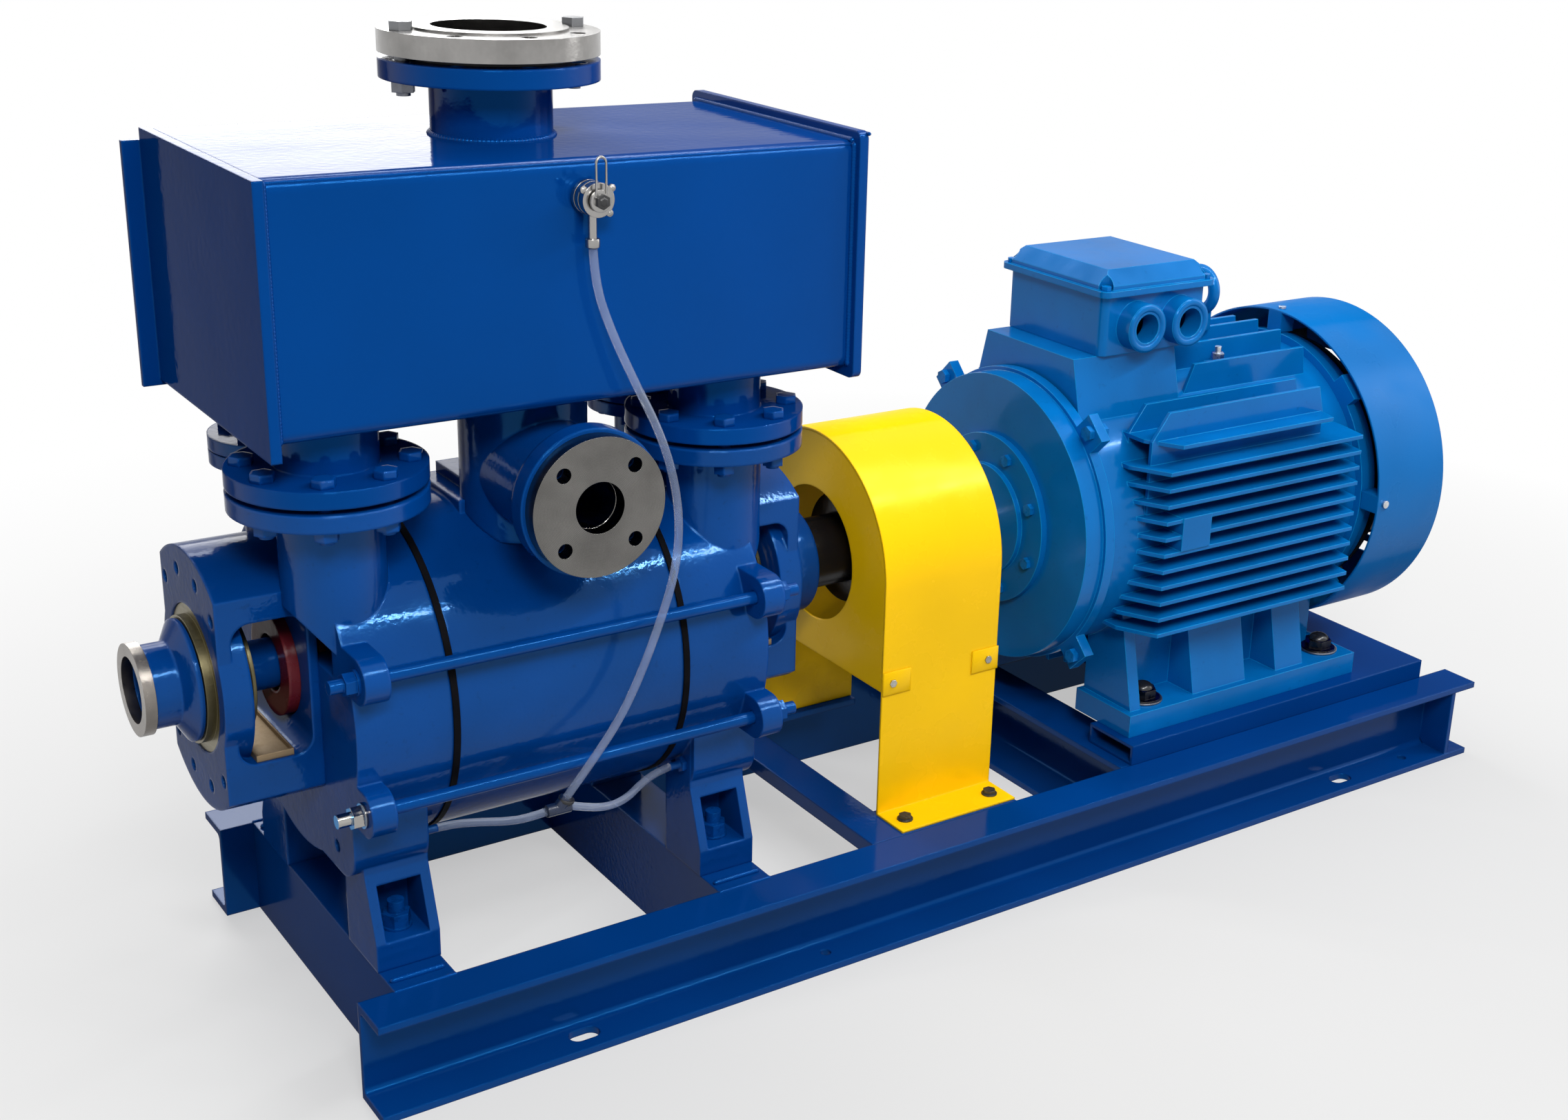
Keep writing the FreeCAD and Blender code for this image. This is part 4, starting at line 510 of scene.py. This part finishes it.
# The motor's edges get a strong painted highlight (glint) from an edge lift of 4.0.
motor_paint = cast_paint("motor_blue_satin", motor_blue, blue_sheen, rough=0.15, radius=0.0020,
                         wave=0.08, edge_glint_and_wear_lift=4.0, clear=0.12)
fan_cover_paint = paint("fan_cover_blue_satin", motor_blue, blue_sheen, rough=0.30, peel=0.06)
guard_paint = paint("guard_yellow_satin", guard_yellow, yellow_sheen, rough=0.24, peel=0.05)
outlet_face = turned_metal("outlet_flange_turned", stainless_grey, (outlet_x, 0.0, 0.0), "Z")
suction_face = turned_metal("suction_flange_turned", suction_grey, (suction_x, 0.0, suction_z),
                            "Y")
end_rim = turned_metal("shaft_end_rim_turned", rim_grey, (0.0, 0.0, shaft_z), "X")
stainless = metal("valve_polished", stainless_grey, rough=0.20)
shaft_steel = metal("shaft_ground", ground_steel, rough=0.24, turned=True)
bronze = metal("bearing_ring_bronze", ring_bronze, rough=0.34, stain=ring_stain)
red_primer = cast_paint("packing_dark_red", packing_red, white_sheen, rough=0.20)
tray_coat = metal("tray_tan_steel", tray_tan, rough=0.5)
black_iron = cast_paint("coupling_black_gloss", coupling_black, white_sheen, rough=0.20,
                        wave=0.10)
bolt_steel = metal("bolt_grey_steel", bolt_grey, rough=0.36, stain=bolt_stain)
foot_fasteners = painted_and_bare("foot_fasteners", base_blue, blue_sheen, dark_bolt, "X",
                                  motor_start_x)
guard_fasteners = painted_and_bare("guard_fasteners", guard_bolt_dark, white_sheen,
                                   guard_bolt_grey, "Z", guard_bolt_top)
motor_fasteners = painted_and_bare("motor_fasteners", motor_blue, blue_sheen, bolt_bright, "X",
                                   fan_end_x)
bare_near(motor_fasteners, earth_bolt, all_round, earth_bolt_reach, earth_bolt_grey)
dark_iron = cast_paint("nut_black_gloss", nut_black, white_sheen, rough=0.22, radius=0.0010,
                       wave=0.06)
gasket_rubber = rubber("gasket_rubber")
plate_black = rubber("port_plate_black", plate_edge_black, rough=0.7, gloss=0.03)
black_plastic = rubber("black_plastic", rough=0.4)
tee_plastic = rubber("tee_dark_plastic", tee_blue_black, rough=0.3)
hose_plastic = clear_plastic("clear_hose")

node_finish = {
    blue_paint: ("base_channel_front", "base_channel_rear", "cross_channels_motor",
                 "cross_channels_pump", "guard_cross_bar", "motor_rails"),
    tank_paint: ("tank_shell", "tank_plates", "tank_branches"),
    neck_paint: ("outlet_neck",),
    suction_paint: ("suction_body",),
    tie_rod_paint: ("tie_rods",),
    cast_gloss: ("pump_casing", "pump_cover_left", "pump_cover_right", "port_blanks",
                 "bearing_bracket_left", "bearing_bracket_right", "bearing_cover_right",
                 "shaft_end_hub", "pump_shaft", "port_bolts", "hose_barbs"),
    motor_paint: ("motor_frame", "motor_shield_front", "motor_shield_rear",
                  "motor_bearing_cap", "terminal_box", "terminal_lid", "lifting_eye"),
    fan_cover_paint: ("fan_cover",),
    guard_paint: ("guard_cover", "guard_ends"),
    outlet_face: ("outlet_flange",),
    suction_face: ("suction_flange",),
    end_rim: ("shaft_end_rim",),
    stainless: ("valve_body", "valve_lever"),
    shaft_steel: ("motor_rotor", "shaft_bearings", "impeller", "stator_core"),
    bronze: ("slinger_rings", "bearing_cover_left"),
    red_primer: ("packing_housings",),
    tray_coat: ("drip_trays",),
    black_iron: ("pump_coupling_hub", "motor_coupling_hub"),
    bolt_steel: ("outlet_bolts",),
    foot_fasteners: ("foot_bolts",),
    guard_fasteners: ("guard_bolts",),
    motor_fasteners: ("motor_screws",),
    gasket_rubber: ("coupling_ring", "flange_gaskets"),
    plate_black: ("port_plates",),
    black_plastic: ("cooling_fan",),
    tee_plastic: ("hose_tee",),
    hose_plastic: ("hose_main", "hose_left", "hose_right"),
}


def dress(obj, mat):
    """One finish on the whole piece."""
    obj.data.materials.clear()
    obj.data.materials.append(mat)


for finish, names in node_finish.items():
    for node_name in names:
        dress(nodes[node_name], finish)


# Hoses: the same routes as the solids, as smooth splines
hose_diameter = 0.010
main_route = [
    (-0.614, -0.216, 0.971),
    (-0.613, -0.217, 0.925),
    (-0.598, -0.224, 0.872),
    (-0.574, -0.234, 0.812),
    (-0.545, -0.241, 0.750),
    (-0.527, -0.244, 0.690),
    (-0.521, -0.246, 0.630),
    (-0.529, -0.247, 0.572),
    (-0.549, -0.247, 0.516),
    (-0.572, -0.246, 0.460),
    (-0.598, -0.244, 0.408),
    (-0.632, -0.240, 0.360),
    (-0.665, -0.230, 0.312),
]
left_route = [
    (-0.795, -0.150, 0.271),
    (-0.774, -0.152, 0.2715),
    (-0.748, -0.168, 0.274),
    (-0.724, -0.194, 0.280),
    (-0.708, -0.216, 0.290),
    (-0.690, -0.228, 0.299),
]
right_route = [
    (-0.481, -0.150, 0.271),
    (-0.503, -0.152, 0.269),
    (-0.532, -0.166, 0.266),
    (-0.562, -0.190, 0.267),
    (-0.594, -0.210, 0.273),
    (-0.627, -0.222, 0.284),
    (-0.660, -0.228, 0.299),
]


def hose(name, route, node_name):
    """Clear hose along a route, carried by the skid, in place of its hidden solid."""
    curve = bpy.data.curves.new(name, "CURVE")
    curve.dimensions = "3D"
    curve.resolution_u = 6
    curve.bevel_depth = hose_diameter / 2
    curve.bevel_resolution = 5
    curve.use_fill_caps = True
    spline = curve.splines.new("NURBS")
    spline.points.add(len(route) - 1)
    for point, place in zip(spline.points, route):
        point.co = (*place, 1.0)
    spline.order_u = 3
    spline.use_endpoint_u = True
    piece = bpy.data.objects.new(name, curve)
    bpy.context.scene.collection.objects.link(piece)
    curve.materials.append(hose_plastic)
    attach(piece, "skid")
    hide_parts(node_name)


hose("drain_hose_main", main_route, "hose_main")
hose("drain_hose_left", left_route, "hose_left")
hose("drain_hose_right", right_route, "hose_right")


def opened(name):
    """The piece just added, named, with all of its mesh picked for editing."""
    piece = bpy.context.object
    piece.name = name
    bpy.ops.object.mode_set(mode="EDIT")
    bpy.ops.mesh.select_all(action="SELECT")
    return piece


def picked_vertices(piece, wanted):
    """Only the vertices that are wanted, picked for editing."""
    bpy.ops.mesh.select_all(action="DESELECT")
    bpy.ops.object.mode_set(mode="OBJECT")
    for vertex in piece.data.vertices:
        vertex.select = wanted(vertex)
    bpy.ops.object.mode_set(mode="EDIT")


def settled(piece, mat, smooth_angle=None):
    """Place kept in the mesh, smooth shading up to an angle, and the finish."""
    bpy.ops.object.transform_apply(location=True, rotation=True, scale=True)
    if smooth_angle:
        bpy.ops.object.shade_smooth_by_angle(angle=math.radians(smooth_angle))
    else:
        bpy.ops.object.shade_smooth()
    dress(piece, mat)


# Weld beads: one drop made, repeated along the joint
def drop(name, size, stretch):
    """One drop of weld at the middle of the scene."""
    bpy.ops.object.select_all(action="DESELECT")
    bpy.ops.mesh.primitive_uv_sphere_add(segments=8, ring_count=6, radius=size)
    piece = opened(name)
    bpy.ops.transform.resize(value=(stretch, 1.0, 1.0))
    bpy.ops.object.mode_set(mode="OBJECT")
    return piece


def finish_bead(piece):
    """Bead smoothed, painted and carried by the skid."""
    settled(piece, bead_paint)
    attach(piece, "skid")


def bead_line(name, start, end, size=bead):
    """Straight weld bead between two points."""
    piece = drop(name, size, drop_stretch)
    start = Vector(start)
    run = Vector(end) - start
    pitch = size * row_pitch
    row = piece.modifiers.new("row", "ARRAY")
    row.use_relative_offset = False
    row.use_constant_offset = True
    row.constant_offset_displace = (pitch, 0.0, 0.0)
    row.count = int(run.length / pitch) + 1
    bpy.ops.object.modifier_apply(modifier="row")
    turn = run.to_track_quat("X", "Z").to_matrix().to_4x4()
    piece.matrix_world = Matrix.Translation(start) @ turn
    finish_bead(piece)


def bead_ring(name, centre, radius, size=bead):
    """Weld bead round an upright pipe."""
    piece = drop(name, size, 1.0)
    count = int(math.tau * radius / (size * ring_pitch))
    bpy.ops.object.mode_set(mode="EDIT")
    bpy.ops.mesh.select_all(action="SELECT")
    bpy.ops.transform.translate(value=(radius, 0.0, 0.0))
    bpy.ops.mesh.spin(steps=count - 1, dupli=True, angle=math.tau * (count - 1) / count,
                      center=(0.0, 0.0, 0.0), axis=upwards)
    bpy.ops.object.mode_set(mode="OBJECT")
    piece.location = centre
    finish_bead(piece)


def tank_beads():
    """Beads on the tank's end plates, seams and pipes."""
    inner_right = tank_right - tank_end_t
    inner_left = tank_left + tank_end_t
    plate_top = tank_top + right_plate_rise
    bead_line("bead_tank_right_top", (inner_right, tank_front + corner_gap, tank_top),
              (inner_right, tank_rear, tank_top))
    bead_line("bead_tank_right_front", (inner_right, tank_front, tank_top - corner_gap),
              (inner_right, tank_front, tank_bottom + corner_gap))
    bead_line("bead_tank_right_edge_top", (tank_right, tank_front - right_lip, plate_top),
              (tank_right, tank_rear, plate_top), seam_bead)
    bead_line("bead_tank_left_front", (inner_left, tank_front, tank_top - corner_gap),
              (inner_left, tank_front, tank_bottom + left_corner_gap))
    seam_y = tank_front + seam_inset
    seam_z = tank_top - seam_inset
    bead_line("bead_tank_front_top", (inner_left, seam_y, seam_z), (inner_right, seam_y, seam_z),
              seam_bead)
    bead_ring("bead_outlet_neck", (outlet_x, 0.0, tank_top), neck_radius)
    for side in (-1, 1):
        x = pump_x + side * branch_offset
        name = "left" if side < 0 else "right"
        bead_ring("bead_branch_" + name, (x, branch_y, tank_bottom), branch_radius)


def skid_beads():
    """Beads on the pump's feet and cross channels."""
    for side in (-1, 1):
        name = "left" if side < 0 else "right"
        x = pump_x + side * leg_offset
        for sign, place in ((-1, "front"), (1, "rear")):
            bead_line("bead_foot_" + name + "_" + place,
                      (x - foot_bead_half, sign * foot_end_y, base_top + foot_bead_rise),
                      (x + foot_bead_half, sign * foot_end_y, base_top + foot_bead_rise),
                      foot_bead)
            bead_line("bead_cross_" + name + "_" + place,
                      (x - cross_bead_half, sign * inner_y, base_top - cross_bead_sink),
                      (x + cross_bead_half, sign * inner_y, base_top - cross_bead_sink),
                      cross_bead)


tank_beads()
skid_beads()


# Valve and hose: lever loop, disc and nut, screws, the clamp, and the tie on the tee
def turned_piece(name, body, mat, centre, axis, radius, depth, sides, rim=0.0008):
    """Short turned or hexagonal piece with chamfered rims and a raised middle."""
    bpy.ops.object.select_all(action="DESELECT")
    bpy.ops.mesh.primitive_cylinder_add(vertices=sides, radius=radius, depth=depth)
    piece = bpy.context.object
    piece.name = name
    bpy.ops.object.mode_set(mode="EDIT")
    bpy.ops.mesh.select_all(action="DESELECT")
    bpy.ops.object.mode_set(mode="OBJECT")
    for face in piece.data.polygons:
        face.select = face.normal.z > 0.9
    bpy.ops.object.mode_set(mode="EDIT")
    bpy.ops.mesh.inset(thickness=radius * 0.35, depth=0.0)
    bpy.ops.mesh.inset(thickness=radius * 0.08, depth=depth * 0.18)
    bpy.ops.object.mode_set(mode="OBJECT")
    edge = piece.modifiers.new("rims", "BEVEL")
    edge.width = rim
    edge.segments = 2
    edge.limit_method = "ANGLE"
    bpy.ops.object.modifier_apply(modifier="rims")
    piece.rotation_euler = Vector(axis).to_track_quat("Z", "Y").to_euler()
    piece.location = centre
    settled(piece, mat, rim_angle)
    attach(piece, body)


def lever_loop():
    """Flat wire handle that stands up from the valve."""
    bpy.ops.object.select_all(action="DESELECT")
    bpy.ops.mesh.primitive_torus_add(major_radius=loop_radius, minor_radius=loop_wire,
                                     major_segments=40, minor_segments=10)
    piece = opened("valve_lever_loop")
    picked_vertices(piece, lambda vertex: vertex.co.y > 0.0)
    bpy.ops.transform.translate(value=(0.0, loop_stretch, 0.0))
    bpy.ops.mesh.select_all(action="SELECT")
    bpy.ops.transform.resize(value=(loop_narrowing, 1.0, 1.0))
    bpy.ops.object.mode_set(mode="OBJECT")
    piece.rotation_euler = (math.radians(90), 0.0, 0.0)
    piece.location = (valve_x, valve_front - loop_forward, valve_z + loop_rise)
    settled(piece, stainless)
    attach(piece, "lever")
    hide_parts("valve_lever")


lever_loop()
turned_piece("valve_lever_disc", "lever", stainless, (valve_x, valve_front - 0.004, valve_z),
             towards_viewer, radius=0.0125, depth=0.004, sides=40)
turned_piece("valve_lever_nut", "lever", black_plastic, (valve_x, valve_front - 0.0085, valve_z),
             towards_viewer, radius=0.0088, depth=0.007, sides=6, rim=0.0009)
for number, (dx, dz) in enumerate(valve_screw_places):
    turned_piece("valve_screw_" + str(number), "skid", stainless,
                 (valve_x + dx, valve_front + 0.004, valve_z + dz), towards_viewer,
                 radius=0.0042, depth=0.006, sides=24, rim=0.0009)
turned_piece("hose_clamp_top", "skid", stainless, hose_clamp_place, downwards,
             radius=0.0082, depth=0.010, sides=32, rim=0.0012)
turned_piece("tee_tie", "skid", black_plastic, tee_tie_place, tee_tie_axis,
             radius=0.0098, depth=0.004, sides=24)


# Guard tabs, and the washers and domes of the motor's foot nuts
def guard_tab(name, x):
    """Thin tab on the front of the guard."""
    bpy.ops.object.select_all(action="DESELECT")
    bpy.ops.mesh.primitive_cube_add(size=1.0)
    piece = opened(name)
    bpy.ops.transform.resize(value=guard_tab_size)
    bpy.ops.mesh.bevel(offset=0.0005, segments=2)
    bpy.ops.object.mode_set(mode="OBJECT")
    piece.location = (x, guard_tab_y, guard_tab_z)
    settled(piece, guard_paint, rim_angle)
    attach(piece, "skid")


for side, x in zip(("left", "right"), guard_tab_x):
    guard_tab("guard_tab_" + side, x)


def nut_dome(name, centre):
    """Domed top over a foot nut."""
    bpy.ops.object.select_all(action="DESELECT")
    bpy.ops.mesh.primitive_uv_sphere_add(segments=28, ring_count=14, radius=dome_radius)
    piece = opened(name)
    bpy.ops.mesh.bisect(plane_co=(0.0, 0.0, 0.0), plane_no=upwards, use_fill=True,
                        clear_inner=True)
    bpy.ops.mesh.select_all(action="SELECT")
    bpy.ops.transform.resize(value=(1.0, 1.0, dome_flattening), center_override=(0.0, 0.0, 0.0))
    bpy.ops.object.mode_set(mode="OBJECT")
    piece.location = centre
    settled(piece, dark_iron, dome_angle)
    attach(piece, "skid")


washer_t = 0.0032
nut_top = 0.018
foot_bolt_places = [(x, side * foot_bolt_y) for side in (-1, 1) for x in foot_bolt_x]
for number, (x, y) in enumerate(foot_bolt_places):
    turned_piece("foot_washer_" + str(number), "skid", bolt_steel,
                 (x, y, foot_pad_top + washer_t / 2), upwards, radius=0.0305, depth=washer_t,
                 sides=40)
    nut_dome("foot_dome_" + str(number), (x, y, foot_pad_top + nut_top))


# Lips of the two cable entries
def entry_lip(name, x):
    """Round lip on the front of a cable entry."""
    bpy.ops.object.select_all(action="DESELECT")
    bpy.ops.mesh.primitive_torus_add(major_radius=lip_radius, minor_radius=lip_round,
                                     major_segments=56, minor_segments=14)
    piece = opened(name)
    bpy.ops.transform.resize(value=(1.0, 1.0, lip_flattening))
    bpy.ops.object.mode_set(mode="OBJECT")
    piece.rotation_euler = (math.radians(90), 0.0, 0.0)
    piece.location = (x, entry_face_y, entry_z)
    settled(piece, motor_paint)
    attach(piece, "skid")


for side, x in zip(("left", "right"), entry_x):
    entry_lip("entry_lip_" + side, x)


# Floor, world and lamps
def seen_share(tree):
    """1 for rays from the camera or off gloss and clear plastic, 0 for the rest."""
    path = tree.nodes.new("ShaderNodeLightPath")
    total = path.outputs["Is Camera Ray"]
    for name in ("Is Glossy Ray", "Is Transmission Ray"):
        total = maths(tree, "MAXIMUM", total, path.outputs[name])
    return total


def stage():
    """Pale floor that turns to plain white away from the machine."""
    bpy.ops.object.select_all(action="DESELECT")
    bpy.ops.mesh.primitive_plane_add(size=floor_size, location=(0.0, 0.0, 0.0))
    floor = bpy.context.object
    floor.name = "studio_floor"
    mat = bpy.data.materials.new("studio_floor_white")
    mat.use_nodes = True
    tree = mat.node_tree
    shader = tree.nodes["Principled BSDF"]
    shader.inputs["Base Color"].default_value = (*floor_grey, 1.0)
    shader.inputs["Roughness"].default_value = 0.75
    glow = tree.nodes.new("ShaderNodeEmission")
    glow.inputs["Color"].default_value = (1.0, 1.0, 1.0, 1.0)
    glow.inputs["Strength"].default_value = 1.0
    place = tree.nodes.new("ShaderNodeTexCoord").outputs["Object"]
    white = span(tree, distance(tree, place), floor_white_from, floor_white_to,
                 floor_glow_near, 1.0)
    seen = maths(tree, "MULTIPLY", seen_share(tree), white)
    mix = tree.nodes.new("ShaderNodeMixShader")
    linked(tree, seen, mix.inputs[0])
    linked(tree, shader.outputs[0], mix.inputs[1])
    linked(tree, glow.outputs[0], mix.inputs[2])
    linked(tree, mix.outputs[0], tree.nodes["Material Output"].inputs[0])
    floor.data.materials.append(mat)


def world():
    """White room: dim for lighting, full white where it is seen or mirrored."""
    sky = bpy.data.worlds.new("studio_world")
    bpy.context.scene.world = sky
    sky.use_nodes = True
    tree = sky.node_tree
    back = tree.nodes["Background"]
    back.inputs["Color"].default_value = (1.0, 1.0, 1.0, 1.0)
    seen = maths(tree, "MULTIPLY", seen_share(tree), room_seen - room_light)
    linked(tree, maths(tree, "ADD", seen, room_light), back.inputs["Strength"])


def lamp(name, place, aim, size, power):
    """Soft rectangular lamp pointed at a spot."""
    data = bpy.data.lights.new(name, "AREA")
    data.shape = "RECTANGLE"
    data.size = size[0]
    data.size_y = size[1]
    data.energy = power
    obj = bpy.data.objects.new(name, data)
    bpy.context.scene.collection.objects.link(obj)
    obj.location = place
    obj.rotation_euler = (Vector(aim) - Vector(place)).to_track_quat("-Z", "Y").to_euler()


def camera():
    """Camera of the photograph, from its fitted place, direction and lens."""
    data = bpy.data.cameras.new("photo_camera")
    data.sensor_width = sensor_mm
    data.lens = focal_pixels / photo_width * sensor_mm
    data.shift_x = -centre_right_pixels / photo_width
    data.shift_y = -centre_up_pixels / photo_width
    data.clip_end = 100.0
    obj = bpy.data.objects.new("photo_camera", data)
    bpy.context.scene.collection.objects.link(obj)
    azimuth = math.radians(camera_azimuth)
    elevation = math.radians(camera_elevation)
    roll = math.radians(camera_roll)
    back = Vector((math.sin(azimuth) * math.cos(elevation),
                   -math.cos(azimuth) * math.cos(elevation), math.sin(elevation)))
    right = Vector((math.cos(azimuth), math.sin(azimuth), 0.0))
    up = back.cross(right)
    turned_right = right * math.cos(roll) + up * math.sin(roll)
    turned_up = up * math.cos(roll) - right * math.sin(roll)
    axes = Matrix((turned_right, turned_up, back)).transposed().to_4x4()
    obj.matrix_world = Matrix.Translation(camera_place) @ axes
    bpy.context.scene.camera = obj


stage()
world()
lamp("key_softbox", (-1.7, -3.0, 3.0), machine_middle, size=(1.1, 0.8), power=78.0)
lamp("top_strip_front", (0.6, -2.0, 3.0), machine_middle, size=(5.0, 0.06), power=84.0)
lamp("top_strip_rear", (0.6, 0.5, 3.2), machine_middle, size=(5.0, 0.12), power=62.0)
lamp("side_softbox", (3.4, -1.4, 1.8), (0.4, 0.0, 0.5), size=(1.0, 2.4), power=22.0)
lamp("back_softbox", (0.0, 4.0, 2.2), (-0.4, 0.0, 1.0), size=(2.4, 2.2), power=120.0)
camera()
bpy.context.scene.view_settings.view_transform = "Standard"
